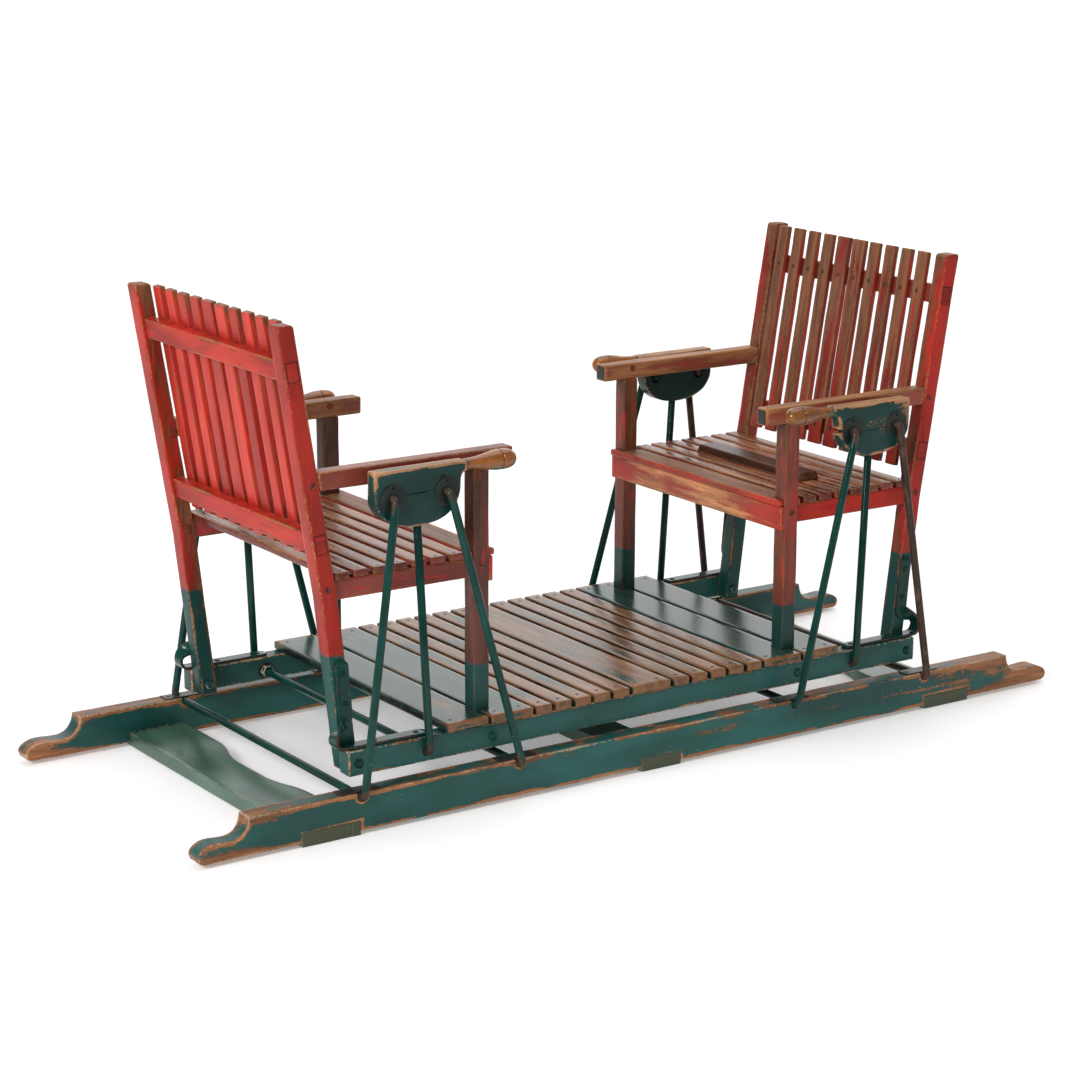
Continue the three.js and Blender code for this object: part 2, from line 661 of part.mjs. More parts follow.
// A rectangle in the plane of the reclined back: up the post and across its thickness, seat side negative.
function reclinedRect(z, [low, high], [front, back]) {
  const middle = new THREE.Vector2(backEdgeX(z) - POST / 2, z);
  const up = new THREE.Vector2(Math.sin(RECLINE), Math.cos(RECLINE));
  const out = new THREE.Vector2(Math.cos(RECLINE), -Math.sin(RECLINE));
  const corner = (a, b) => middle.clone().addScaledVector(up, a).addScaledVector(out, b);
  return new THREE.Shape([corner(low, front), corner(low, back), corner(high, back), corner(high, front)]);
}

function backRailShape(z, trim, grow) {
  const half = BACK_RAIL_HEIGHT / 2 - trim + grow;
  const depth = BACK_RAIL_THICK / 2 + grow;
  return reclinedRect(z, [-half, half], [-depth, depth]);
}

function backRail(z) {
  return join([
    sideOn(backRailShape(z, 0, 0), [-POST_INNER_Y + FIT, POST_INNER_Y - FIT]),
    sideOn(backRailShape(z, BACK_RAIL_TENON_TRIM, 0), [-POST_OUTER_Y, POST_OUTER_Y]),
  ]);
}

function backSlat(index) {
  const place = index - (BACK_SLATS - 1) / 2;
  const width = Math.abs(place) < 1 ? BACK_MIDDLE_SLAT_WIDTH : BACK_SLAT_WIDTH;
  const middle = place * BACK_SLAT_PITCH;
  const front = -BACK_RAIL_THICK / 2 - BACK_SLAT_THICK;
  const back = -BACK_RAIL_THICK / 2 + LET_IN;
  const length = (BACK_SLAT_TOP_Z - BACK_SLAT_BOTTOM_Z) / Math.cos(RECLINE);
  const foot = new THREE.Vector2(backEdgeX(BACK_SLAT_BOTTOM_Z) - POST / 2, BACK_SLAT_BOTTOM_Z);
  const up = new THREE.Vector2(Math.sin(RECLINE), Math.cos(RECLINE));
  const out = new THREE.Vector2(Math.cos(RECLINE), -Math.sin(RECLINE));
  const corner = (a, b) => foot.clone().addScaledVector(up, a).addScaledVector(out, b);
  const outline = new THREE.Shape([
    corner(0, front), corner(0, back), corner(length, back), corner(length, front + BACK_SLAT_BEVEL),
    corner(length - BACK_SLAT_BEVEL, front),
  ]);
  return sideOn(outline, [middle - width / 2, middle + width / 2]);
}

function backPanel() {
  const slats = [];
  for (let i = 0; i < BACK_SLATS; i += 1) {
    slats.push(backSlat(i));
  }
  return join([backRail(UPPER_RAIL_Z), backRail(LOWER_RAIL_Z), ...slats]);
}

// A stub tenon along X, and the same enlarged as its mortise.
function tenonAlongX([x0, x1], middleY, [z0, z1], grow = 0) {
  return box(
    [x0 - grow, x1 + grow], [middleY - TENON_THICK / 2 - grow, middleY + TENON_THICK / 2 + grow],
    [z0 + TENON_SHOULDER - grow, z1 - TENON_SHOULDER + grow],
  );
}

const SEAT_RAIL_MIDDLE_Y = SEAT_RAIL_OUTER_Y - SEAT_RAIL_THICK / 2;
const POST_MIDDLE_Y = POST_OUTER_Y - POST / 2;
const SEAT_RAIL_SPAN_Z = [SEAT_RAIL_Z, SEAT_RAIL_TOP];
const ARM_SPAN_Z = [ARM_BOTTOM_Z, ARM_TOP_Z];

function seatRailFrontTenon(sign, grow = 0) {
  const face = FRONT_POST_X + POST;
  return tenonAlongX([face - TENON_LENGTH, face + TENON_LENGTH], sign * SEAT_RAIL_MIDDLE_Y, SEAT_RAIL_SPAN_Z, grow);
}

function seatRailBackTenon(sign, grow = 0) {
  const face = BACK_POST_BEND_X - POST;
  return tenonAlongX([face - TENON_LENGTH, face + TENON_LENGTH], sign * SEAT_RAIL_MIDDLE_Y, SEAT_RAIL_SPAN_Z, grow);
}

function armBackTenon(sign, grow = 0) {
  const face = backEdgeX(ARM_BOTTOM_Z + ARM_HEIGHT / 2) - POST;
  return tenonAlongX([face - TENON_LENGTH, face + TENON_LENGTH], sign * POST_MIDDLE_Y, ARM_SPAN_Z, grow);
}

function frontPostTenon(sign, grow = 0) {
  const middle = FRONT_POST_X + POST / 2;
  const half = TENON_THICK / 2 + grow;
  return box(
    [middle - half, middle + half], [sign * POST_MIDDLE_Y - half, sign * POST_MIDDLE_Y + half],
    [ARM_BOTTOM_Z - TENON_LENGTH, ARM_BOTTOM_Z + TENON_LENGTH + grow],
  );
}

function frontPost(sign) {
  const [x, y] = frontPostBox();
  const post = box(x, y.map((place) => sign * place), [FRONT_POST_FOOT_Z, ARM_BOTTOM_Z]);
  return cut(join([post, frontPostTenon(sign)]), [seatRailFrontTenon(sign, FIT)]);
}

function backPost(sign) {
  const post = sideOn(shapeOf(backPostOutline()), [sign * POST_INNER_Y, sign * POST_OUTER_Y]);
  const through = [sign * (POST_INNER_Y - OVERRUN), sign * (POST_OUTER_Y + OVERRUN)];
  return cut(post, [
    sideOn(backRailShape(UPPER_RAIL_Z, BACK_RAIL_TENON_TRIM, FIT), through),
    sideOn(backRailShape(LOWER_RAIL_Z, BACK_RAIL_TENON_TRIM, FIT), through),
    seatRailBackTenon(sign, FIT),
    armBackTenon(sign, FIT),
  ]);
}

function arm(sign) {
  const inner = POST_INNER_Y;
  const outer = POST_OUTER_Y;
  const outline = [
    [inner, ARM_BOTTOM_Z], [outer, ARM_BOTTOM_Z], [outer, ARM_TOP_Z - ARM_EASE], [outer - ARM_EASE, ARM_TOP_Z],
    [inner + ARM_EASE, ARM_TOP_Z], [inner, ARM_TOP_Z - ARM_EASE],
  ];
  const bar = endOn(shapeOf(outline), [ARM_FRONT_X, backEdgeX(ARM_TOP_Z)]);
  const placed = sign > 0 ? bar : mirroredInY(bar);
  return cut(join([cut(placed, [behindBackPosts()]), armBackTenon(sign)]), [frontPostTenon(sign, FIT)]);
}

function seatSideRail(sign) {
  const ySpan = [sign * (SEAT_RAIL_OUTER_Y - SEAT_RAIL_THICK), sign * SEAT_RAIL_OUTER_Y];
  const bar = box([FRONT_POST_X + POST + FIT, BACK_POST_BEND_X], ySpan, SEAT_RAIL_SPAN_Z);
  return join([cut(bar, [behindBackPosts()]), seatRailFrontTenon(sign), seatRailBackTenon(sign)]);
}

// The front slat: rounded nose, bevelled ends, and a notch round each front post.
function frontSlat() {
  const heights = [SEAT_SLAT_BOTTOM, SEAT_TOP];
  const nose = SEAT_SLAT_THICK / 2;
  const bar = crossSlat(
    [FRONT_SLAT_X + nose, FRONT_SLAT_X + FRONT_SLAT_WIDTH], SEAT_SLAT_HALF, heights, SEAT_SLAT_BEVEL,
  );
  const round = roundAlongY(
    FRONT_SLAT_X + nose, SEAT_RAIL_TOP + nose, nose,
    [SEAT_SLAT_BEVEL - SEAT_SLAT_HALF, SEAT_SLAT_HALF - SEAT_SLAT_BEVEL], NOSE_SIDES,
  );
  const [postX, postY] = frontPostBox(FIT);
  const notches = [-1, 1].map((sign) => box(
    postX, [sign * postY[0], sign * (postY[1] + OVERRUN)], [SEAT_RAIL_Z, SEAT_TOP + OVERRUN],
  ));
  return cut(join([bar, round]), notches);
}

function seatFrame() {
  const heights = [SEAT_SLAT_BOTTOM, SEAT_TOP];
  const rear = backEdgeX(SEAT_RAIL_TOP) - POST - SEAT_REAR_GAP;
  const front = FRONT_SLAT_X + FRONT_SLAT_WIDTH;
  const pitch = (rear - front) / SEAT_SLATS;
  const slats = [];
  for (let i = 0; i < SEAT_SLATS; i += 1) {
    const edge = front + pitch * (i + 1);
    slats.push(crossSlat([edge - SEAT_SLAT_WIDTH, edge], SEAT_SLAT_HALF, heights, SEAT_SLAT_BEVEL));
  }
  return join([seatSideRail(-1), seatSideRail(1), frontSlat(), ...slats]);
}

function apron() {
  return box(
    [FRONT_POST_X - APRON_THICK, FRONT_POST_X], [-APRON_HALF, APRON_HALF],
    [SEAT_SLAT_BOTTOM - APRON_HEIGHT, SEAT_SLAT_BOTTOM],
  );
}

// The strap's middle line in X and Z: down the post, out through a swan neck, round the heel, along the rail.
function braceRuns() {
  const railLine = DECK_RAIL_TOP + FIT + BRACE_THICK / 2;
  const heel = railLine + BRACE_HEEL_RISE;
  const neck = BRACE_TWIST_Z - heel;
  const path = new THREE.Path();
  path.moveTo(BRACE_TOP_X, BRACE_TOP_Z);
  path.lineTo(BRACE_TWIST_X, BRACE_TWIST_Z);
  path.bezierCurveTo(
    BRACE_TWIST_X, BRACE_TWIST_Z - neck / 2, BRACE_HEEL_X, heel + neck / 2, BRACE_HEEL_X, heel,
  );
  path.absarc(BRACE_HEEL_X - BRACE_HEEL_RISE, heel, BRACE_HEEL_RISE, 0, -Math.PI / 2, true);
  path.lineTo(BRACE_TOE_X, railLine);
  return path.curves;
}

// An iron strap: flat on the post, a quarter twist in its neck, then flat on the rail.
function brace(sign) {
  const [leg, neck, heel, foot] = braceRuns();
  const quarter = Math.PI / 2;
  const full = BRACE_WIDTH / 2;
  const narrow = full - BRACE_END_TAPER;
  const legTaper = BRACE_END_TAPER / leg.getLength();
  const footTaper = BRACE_END_TAPER / foot.getLength();
  const rings = [];
  const add = (run, share, twist, width) => {
    rings.push({ point: run.getPointAt(share), tangent: run.getTangentAt(share), twist, width });
  };
  add(leg, 0, 0, narrow);
  add(leg, legTaper, 0, full);
  for (let step = 0; step < BRACE_NECK_STEPS; step += 1) {
    const share = step / BRACE_NECK_STEPS;
    add(neck, share, quarter * THREE.MathUtils.smoothstep(share, 0, 1), full);
  }
  for (let step = 0; step < BRACE_HEEL_STEPS; step += 1) {
    add(heel, step / BRACE_HEEL_STEPS, quarter, full);
  }
  add(foot, 0, quarter, full);
  add(foot, 1 - footTaper, quarter, full);
  add(foot, 1, quarter, narrow);
  const vertices = [];
  rings.forEach(({ point, tangent, twist, width }) => {
    const along = new THREE.Vector3(tangent.x, 0, tangent.y);
    const across = new THREE.Vector3(-tangent.y * Math.cos(twist), Math.sin(twist), tangent.x * Math.cos(twist));
    const thick = across.clone().cross(along).normalize().multiplyScalar(BRACE_THICK / 2);
    const reach = (BRACE_WIDTH / 2) * Math.sin(twist) + (BRACE_THICK / 2) * Math.cos(twist);
    const middle = new THREE.Vector3(point.x, POST_OUTER_Y + FIT + reach, point.y);
    [[1, 1], [1, -1], [-1, -1], [-1, 1]].forEach(([a, b]) => {
      vertices.push(middle.clone().addScaledVector(across, a * width).addScaledVector(thick, b));
    });
  });
  const index = [];
  for (let ring = 0; ring < rings.length - 1; ring += 1) {
    for (let side = 0; side < 4; side += 1) {
      const a = ring * 4 + side;
      const b = ring * 4 + ((side + 1) % 4);
      index.push(a, b, b + 4, a, b + 4, a + 4);
    }
  }
  const end = (rings.length - 1) * 4;
  index.push(0, 2, 1, 0, 3, 2, end, end + 1, end + 2, end, end + 2, end + 3);
  const geometry = new THREE.BufferGeometry().setFromPoints(vertices);
  geometry.setIndex(index);
  return sign > 0 ? geometry : mirroredInY(geometry);
}

function spareSlat() {
  const low = SEAT_TOP;
  const high = SEAT_TOP + SPARE_THICK;
  const half = SPARE_LENGTH / 2;
  const outline = [
    [SPARE_Y - half, low], [SPARE_Y + half, low], [SPARE_Y + half - SPARE_BEVEL, high],
    [SPARE_Y - half + SPARE_BEVEL, high],
  ];
  return endOn(shapeOf(outline), [SPARE_X - SPARE_WIDTH / 2, SPARE_X + SPARE_WIDTH / 2]);
}

// Assembly

const glider = new THREE.Group();
glider.name = 'platform_glider';

function place(parent, name, geometry, finish) {
  const mesh = new THREE.Mesh(geometry, new THREE.MeshStandardMaterial(finish));
  mesh.name = name;
  parent.add(mesh);
}

// The seats, bails and levers are drawn on the right, and turned half round for the left.
const SIDES = [{ side: 'right', turn: 0 }, { side: 'left', turn: Math.PI }];

// Near and far are fixed to the world, so their sign swaps in the turned half.
function rowsOf(turn) {
  const near = turn === 0 ? -1 : 1;
  return [{ row: 'near', sign: near }, { row: 'far', sign: -near }];
}

place(glider, 'base_rail_near', baseRail(-1), FINISHES.greenPaint);
place(glider, 'base_rail_far', baseRail(1), FINISHES.greenPaint);
Object.entries(crossBoards()).forEach(([name, geometry]) => {
  place(glider, name, geometry, FINISHES.greenWood);
});
place(glider, 'deck_frame', deckFrame(), FINISHES.wornDeck);

SIDES.forEach(({ side, turn }) => {
  const half = new THREE.Group();
  half.rotation.z = turn;
  glider.add(half);
  const outerBore = side === 'left' ? BORE_RADIUS : LOOSE_BORE_RADIUS;
  const outerFinish = side === 'right' ? FINISHES.bareIron : FINISHES.greenIron;
  place(half, `bail_${side}_outer`, baseBail(BASE_PIVOT_OUTER_X, TOP_PIVOT_OUTER_X), outerFinish);
  place(half, `bail_${side}_inner`, baseBail(BASE_PIVOT_INNER_X, TOP_PIVOT_INNER_X), FINISHES.greenIron);
  place(half, `hanger_${side}`, bentRod(hangerCorners(), ROD_RADIUS), FINISHES.greenIron);
  place(half, `seat_frame_${side}`, seatFrame(), FINISHES.redPaint);
  place(half, `apron_${side}`, apron(), FINISHES.redPaint);
  place(half, `back_panel_${side}`, backPanel(), FINISHES.redPaint);
  rowsOf(turn).forEach(({ row, sign }) => {
    place(half, `keeper_${row}_${side}_outer`, keeper(BASE_PIVOT_OUTER_X, sign), FINISHES.bareIron);
    place(half, `keeper_${row}_${side}_inner`, keeper(BASE_PIVOT_INNER_X, sign), FINISHES.bareIron);
    place(half, `lever_${row}_${side}`, lever(sign, outerBore, LOOSE_BORE_RADIUS), FINISHES.greenPaint);
    place(half, `washer_${row}_${side}_outer`, washer(TOP_PIVOT_OUTER_X, sign), FINISHES.bareIron);
    place(half, `washer_${row}_${side}_inner`, washer(TOP_PIVOT_INNER_X, sign), FINISHES.bareIron);
    place(half, `collar_${row}_${side}`, collar(sign), FINISHES.bareIron);
    place(half, `front_post_${row}_${side}`, frontPost(sign), FINISHES.redPaint);
    place(half, `back_post_${row}_${side}`, backPost(sign), FINISHES.redPaint);
    place(half, `arm_${row}_${side}`, arm(sign), FINISHES.redPaint);
    place(half, `brace_${row}_${side}`, brace(sign), FINISHES.greenIron);
  });
});
place(glider, 'spare_slat', spareSlat(), FINISHES.darkWood);

export default glider;
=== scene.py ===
"""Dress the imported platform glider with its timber, iron and paint, and set up a plain studio.

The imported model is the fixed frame. Each piece here is worked out from formulas in that frame, in metres:
X runs along the base rails, -Y is the near side and z = 0 is the floor. The right half is drawn, and signs
turn it into the left one.
"""
import math

import bpy
import numpy as np
from mathutils import Matrix, Vector
from mathutils.geometry import tessellate_polygon


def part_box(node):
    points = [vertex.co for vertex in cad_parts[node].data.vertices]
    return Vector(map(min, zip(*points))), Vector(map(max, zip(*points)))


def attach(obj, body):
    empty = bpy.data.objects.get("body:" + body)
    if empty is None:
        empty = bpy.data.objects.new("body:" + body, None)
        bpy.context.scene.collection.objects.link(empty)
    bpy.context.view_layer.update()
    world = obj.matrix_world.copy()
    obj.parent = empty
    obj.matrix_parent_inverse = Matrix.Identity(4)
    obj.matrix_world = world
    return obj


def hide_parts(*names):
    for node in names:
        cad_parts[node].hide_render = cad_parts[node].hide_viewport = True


bl_info = {
    "name": "Platform glider dresser",
    "version": (1, 0, 0),
    "blender": (4, 5, 0),
    "location": "3D View > Sidebar > Glider",
    "description": "Builds the timber, iron and paint of a two-seat platform glider round its frame",
    "category": "Object",
}

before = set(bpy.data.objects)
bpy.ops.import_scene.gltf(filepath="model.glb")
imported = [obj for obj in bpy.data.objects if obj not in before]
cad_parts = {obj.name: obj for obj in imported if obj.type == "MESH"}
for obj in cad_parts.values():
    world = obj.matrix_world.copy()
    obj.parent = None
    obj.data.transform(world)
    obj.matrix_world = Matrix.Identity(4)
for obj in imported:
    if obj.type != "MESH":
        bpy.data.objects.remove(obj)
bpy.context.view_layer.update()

# Which way an outline's two axes and its thickness point: X, Y, Z in plan, X, Z, Y from the side, and
# Y, Z, X from the end
PLAN = np.array([[1.0, 0, 0], [0, 1.0, 0], [0, 0, 1.0]])
SIDE = np.array([[1.0, 0, 0], [0, 0, 1.0], [0, 1.0, 0]])
END = np.array([[0, 0, 1.0], [1.0, 0, 0], [0, 1.0, 0]])

# The halves with their signs in X, the rows with their signs in Y, and the four corners from both
SIDES = (("right", 1), ("left", -1))
ROWS = (("near", -1), ("far", 1))
CORNERS = [(row, side, sx, sy) for side, sx in SIDES for row, sy in ROWS]

# Play between pieces that fit together
PLAY = 0.0003

# Base frame: the rails' tails and pivots, the boards' edges in X, and the waist of the end boards
BASE_TAIL = 0.122
BASE_PIVOTS = {"outer": 0.704, "inner": 0.346}
BASE_PIVOT_Z = 0.0747
BOARD_INNER = 0.707
BOARD_OUTER = 0.834
BOARD_THICK = 0.029
BOARD_EASE = 0.0015
CENTRE_BOARD_HALF = 0.049
WAIST_CUT = 0.028
WAIST_HALF = 0.045
WAIST_RUN = 0.155
KEEPER_SCREW_X = 0.031

# Rods and levers. The hanger nut's span is counted inwards from its collar, the two shares place the
# control points of a block's half oval, and the old hole is given by X, Z and radius. The old hole is drawn
# as a dark disc: painted shade of its hollow.
TOP_PIVOTS = {"outer": 0.617, "inner": 0.498}
TOP_PIVOT_Z = 0.637
ROD_RADIUS = 0.008
ROD_BEND = 0.010
ROD_STUB_Y = 0.324
LEG_FROM_WASHER = 0.0125
HANGER_X = 0.534
HANGER_Z = 0.123
HANGER_TOP_Z = 0.622
WASHER_HOLE = 0.002
WASHER_HOLE_IN = 0.006
HANGER_NUT = 0.0145
HANGER_NUT_SPAN = (0.0125, 0.0006)
BORE_PLAY = 0.0038
LEVER_CENTRE_X = 0.5575
LEVER_TOP = 0.690
LEVER_DEPTH = 0.113
LEVER_OUTER = 0.097
LEVER_INNER = 0.092
LEVER_SHOULDER = 0.106
LEVER_STEP = 0.020
FLANK_SHARE = 0.42
BELLY_SHARE = 0.62
BLOCK_Y = (0.327, 0.357)
BLOCK_MIDDLE_Y = 0.342
BLOCK_EASE = 0.003
HANDLE_TIP_X = 0.334
HANDLE_Z = 0.6795
HANDLE_RADIUS = 0.020
HANDLE_GROOVE = 0.69
OLD_HOLE = (0.507, 0.6655, 0.0062)

# Platform. The slats' widths and gaps run outwards from the middle one.
RAIL_Y = (0.303, 0.339)
RAIL_TOP = 0.153
DECK_TOP = 0.1705
DECK_EASE = 0.0028
DECK_MIDDLE_HALF = 0.047
DECK_WIDTHS = [0.038] * 5 + [0.098, 0.095]
DECK_GAPS = [0.0093] * 5 + [0.0068] * 2
WIDE_SLAT = 0.06
DECK_SCREW_X = 0.028
DECK_SCREW_Y = 0.321

# Posts and arms. Levels are heights from the lowest up, bolts have places in X and Z, and a nut has its
# radius, thickness and ease.
POST = 0.035
POST_OUTER_Y = 0.303
POST_INNER_Y = 0.268
POST_CHAMFER = 0.004
FRONT_POST_X = 0.3677
FRONT_POST_LEVELS = (0.105, 0.656)
NOTCH_X = (FRONT_POST_X - PLAY, FRONT_POST_X + POST + PLAY)
NOTCH_Y = (POST_INNER_Y - PLAY, POST_OUTER_Y + PLAY)
BACK_POST_LEVELS = (0.104, 0.450, 0.972)
BEND_X = 0.742
BEND_Z = 0.450
LOWER_LEAN = 0.041 / 0.346
UPPER_LEAN = 0.084 / 0.522
RECLINE = math.atan(UPPER_LEAN)
ARM_LEVELS = (0.656, 0.692)
ARM_EASE = 0.0035
SEAT_BOLTS = ((0.756, 0.668), (0.728, 0.465), (0.386, 0.465))
SEAT_NUT = (0.0085, 0.005, 0.0007)
ARM_BOLT = (0.388, 0.680)
FOOT_BOLTS_X = (0.6865, 0.384)
FOOT_BOLT_Z = 0.127
FOOT_NUT = (0.0092, 0.0065, 0.0008)

# Seats, aprons and the spare slat
SEAT_TOP = 0.494
SEAT_HALF = 0.300
SEAT_RAIL_Y = (0.274, 0.296)
SEAT_RAIL_LEVELS = (0.441, 0.480)
SEAT_RAIL_FRONT = 0.403
SEAT_REAR_GAP = 0.0015
FRONT_SLAT_X = (0.352, 0.412)
FRONT_SLAT_EASE = 0.0042
SEAT_SLATS = 7
SEAT_SLAT_WIDTH = 0.0325
SEAT_SLAT_EASE = 0.0030
SEAT_SCREW_Y = 0.286
APRON_X = 0.358
APRON_EASE = 0.0018
APRON_NAIL_Y = 0.287
APRON_NAIL_IN = 0.013
SPARE_TAPER = 0.009
SPARE_EASE = 0.002
SLAT_REACH = 0.006

# Backs. The tenons' blocks start that deep in the posts.
BACK_SLATS = 10
BACK_SLAT_PITCH = 0.052
BACK_SLAT_WIDTH = 0.031
BACK_MIDDLE_WIDTH = 0.039
BACK_SLAT_THICK = 0.0135
BACK_SLAT_TRIM = 0.0012
BACK_SLAT_EASE = 0.0024
BACK_SLAT_LEVELS = (0.512, 0.970)
BACK_RAIL_HALF = 0.011
BACK_RAIL_HALF_HEIGHT = 0.020
BACK_RAIL_LEVELS = (0.885, 0.554)
TENON_DEEP = 0.02
TENON_REACH = 0.0010

# A tenon's end and the dark joint round it: half height, half depth, how far proud of the post, and ease
TENON_END = (0.0188, 0.0113, 0.0005, 0.0004)
TENON_JOINT = (0.0196, 0.0122, 0.0002, 0.0001)

# Iron straps: their size, the points of the middle line in X and Z, and the places of the screws
STRAP_WIDTH = 0.029
STRAP_THICK = 0.006
STRAP_HEEL = 0.017
STRAP_TIP = 0.008
STRAP_LEAN = 0.009 / 0.110
STRAP_TOP = (0.704, 0.325)
STRAP_NECK = (0.695, 0.215)
STRAP_HEEL_X = 0.712
STRAP_TOE_X = 0.526
STRAP_POST_SCREWS = (0.298, 0.238)
STRAP_RAIL_SCREWS = (0.546, 0.640)

# Heads of the fasteners: radius, height, and depth of the slot if there is one. A keeper's screw takes its
# radius from the settings.
KEEPER_SCREW = (0.0009, 0.0006)
SEAT_BOLT_HEAD = (0.0070, 0.0012, 0.0011)
ARM_BOLT_HEAD = (0.0066, 0.0024)
FOOT_BOLT_HEIGHT = 0.0042
DECK_SCREW = (0.0042, 0.0006, 0.0006)
SEAT_SCREW = (0.0028, 0.0005, 0.0003)
BACK_SCREW = (0.0046, 0.0007, 0.0006)
NAIL_HEIGHT = 0.0006
STRAP_POST_SCREW = (0.0068, 0.0026, 0.0014)
STRAP_RAIL_SCREW = (0.0062, 0.0022, 0.0012)

# How deep a screw's rim is sunk into a slat
SUNK = 0.0001

# Edges of small pieces: ease, and reach of the wear
PLATE_EDGE = (0.0005, 0.002)
WASHER_EDGE = (0.0005, 0.0014)
COLLAR_EDGE = (0.0006, 0.0015)
HANGER_NUT_EDGE = (0.0012, 0.003)
HAIR_EDGE = (0.0001, 0.0001)
NUT_REACH = 0.002

# Scroll of a base rail's tail, as shares of its length and of the rail's height
TAIL_SHARES = (
    ((0, 1), (0.02, 0.7), (0.1, 0.5), (0.3, 0.46)),
    ((0.3, 0.46), (0.5, 0.44), (0.62, 0.52), (0.8, 0.46)),
    ((0.8, 0.46), (0.93, 0.4), (1, 0.3), (1, 0.18)),
)
TAIL_TOE_SHARES = ((1.0, 0.18), (0.97, 0.05), (0.9, 0))

# Turned handle, as shares of its length from the block and of its largest radius
HANDLE_SHARES = (
    (-0.04, 0.56), (0.06, 0.56), (0.14, 0.57), (0.3, 0.66), (0.45, 0.83), (0.58, 0.96), (0.665, 0.985),
    (0.682, 0.93), (0.698, 0.93), (0.715, 0.99), (0.78, 0.985), (0.85, 0.93), (0.91, 0.82), (0.955, 0.64),
    (0.985, 0.38), (1, 0),
)

# Cracks of two blocks: points in X and Z, and the width
CRACKS = {
    ("near", "left"): (((0.589, 0.640), (0.572, 0.6415), (0.553, 0.640), (0.535, 0.6425),
                        (0.526, 0.643)), 0.0010),
    ("near", "right"): (((0.590, 0.633), (0.574, 0.6345), (0.556, 0.631), (0.540, 0.6335),
                         (0.526, 0.632)), 0.0024),
}

# The camera's angles, place and shift, what the lights look at, and half the floor's width
VIEW_AZIMUTH = math.radians(-34.46)
VIEW_ELEVATION = math.radians(14.62)
VIEW_ROLL = math.radians(0.29)
VIEW_PLACE = (-3.2559, -4.7139, 1.8539)
VIEW_SHIFT = (-0.0076, 0.0156)
GLIDER_MIDDLE = (0, 0, 0.4)
FLOOR_REACH = 60.0


# Settings that a user would change

def swatch(name, description, *colour):
    """A colour property with its default as red, green and blue."""
    return bpy.props.FloatVectorProperty(
        name=name, description=description, subtype="COLOR", size=4, default=(*colour, 1))


def metres(name, description, default):
    """A length property."""
    return bpy.props.FloatProperty(name=name, description=description, default=default, unit="LENGTH")


class GliderSizes(bpy.types.PropertyGroup):
    """Sizes of the eased edges, the fittings and the facets."""

    edge_ease: metres("Edge ease", "Radius of the worn wooden edges", 0.0022)
    wear_reach: metres("Wear reach", "How far edge wear runs onto a face", 0.007)
    rod_sides: bpy.props.IntProperty(name="Rod sides", description="Facets round a rod", default=24, min=8)
    bolt_radius: metres("Bolt head", "Radius of the carriage bolt heads", 0.0095)
    screw_radius: metres("Screw head", "Radius of the wood screw heads", 0.0034)
    nail_radius: metres("Nail head", "Radius of the nail heads", 0.0020)


class GliderColours(bpy.types.PropertyGroup):
    """Colours of the paints, the timber and the iron."""

    green: swatch("Green paint", "Enamel of the base, levers and rods", 0.015, 0.090, 0.079)
    board_green: swatch("Board green", "Faded green of the cross boards", 0.060, 0.135, 0.092)
    red: swatch("Red paint", "Paint of both seats", 0.39, 0.027, 0.015)
    stain: swatch("Worn brown", "Red-brown timber under the worn red paint", 0.155, 0.058, 0.026)
    bare: swatch("Bare wood", "Wood where the green paint is gone", 0.26, 0.108, 0.042)
    varnish: swatch("Varnish", "Amber wood of the turned handles", 0.28, 0.092, 0.018)
    iron: swatch("Iron", "Brown bare iron", 0.060, 0.034, 0.024)


class GliderStudio(bpy.types.PropertyGroup):
    """The camera and the lights."""

    lens: bpy.props.FloatProperty(name="Lens", description="Focal length on a 36 mm sensor", default=93.8)
    key_power: bpy.props.FloatProperty(
        name="Key light", description="Power of the light on the left", default=150.0, unit="POWER")
    top_power: bpy.props.FloatProperty(
        name="Top light", description="Power of the overhead light", default=80.0, unit="POWER")
    glow: bpy.props.FloatProperty(name="Floor glow", description="Light of the floor's own", default=0.24)
    backdrop: bpy.props.FloatProperty(name="Backdrop", description="Glow of the paper behind", default=1.5)
    sky: bpy.props.FloatProperty(name="Sky", description="Strength of the pale surroundings", default=0.32)


# Outlines

# Steps of a rounded corner, the share of a side that it may take, the least divisor of a mitre, the share
# of a radius that an inset follows, the ease and dirt of a hole's edge, and the least turn that is rounded
CORNER_STEPS = 3
CORNER_SHARE = 0.4
MITRE_FLOOR = 0.35
INSET_SHARE = 0.9
HOLE_EASE = 0.0006
HOLE_DIRT = 0.0016
SMOOTH_TURN = math.radians(25)


def unit(vectors):
    """Vectors divided by their lengths."""
    return vectors / np.linalg.norm(vectors, axis=-1, keepdims=True)


def ramp(values, start, width):
    """0 up to a start and 1 from a width beyond it, which may be negative."""
    return np.clip((values - start) / width, 0, 1)


def run_along(points):
    """Length along a line of points, from its first."""
    return np.concatenate([[0], np.cumsum(np.linalg.norm(np.diff(points, axis=0), axis=1))])


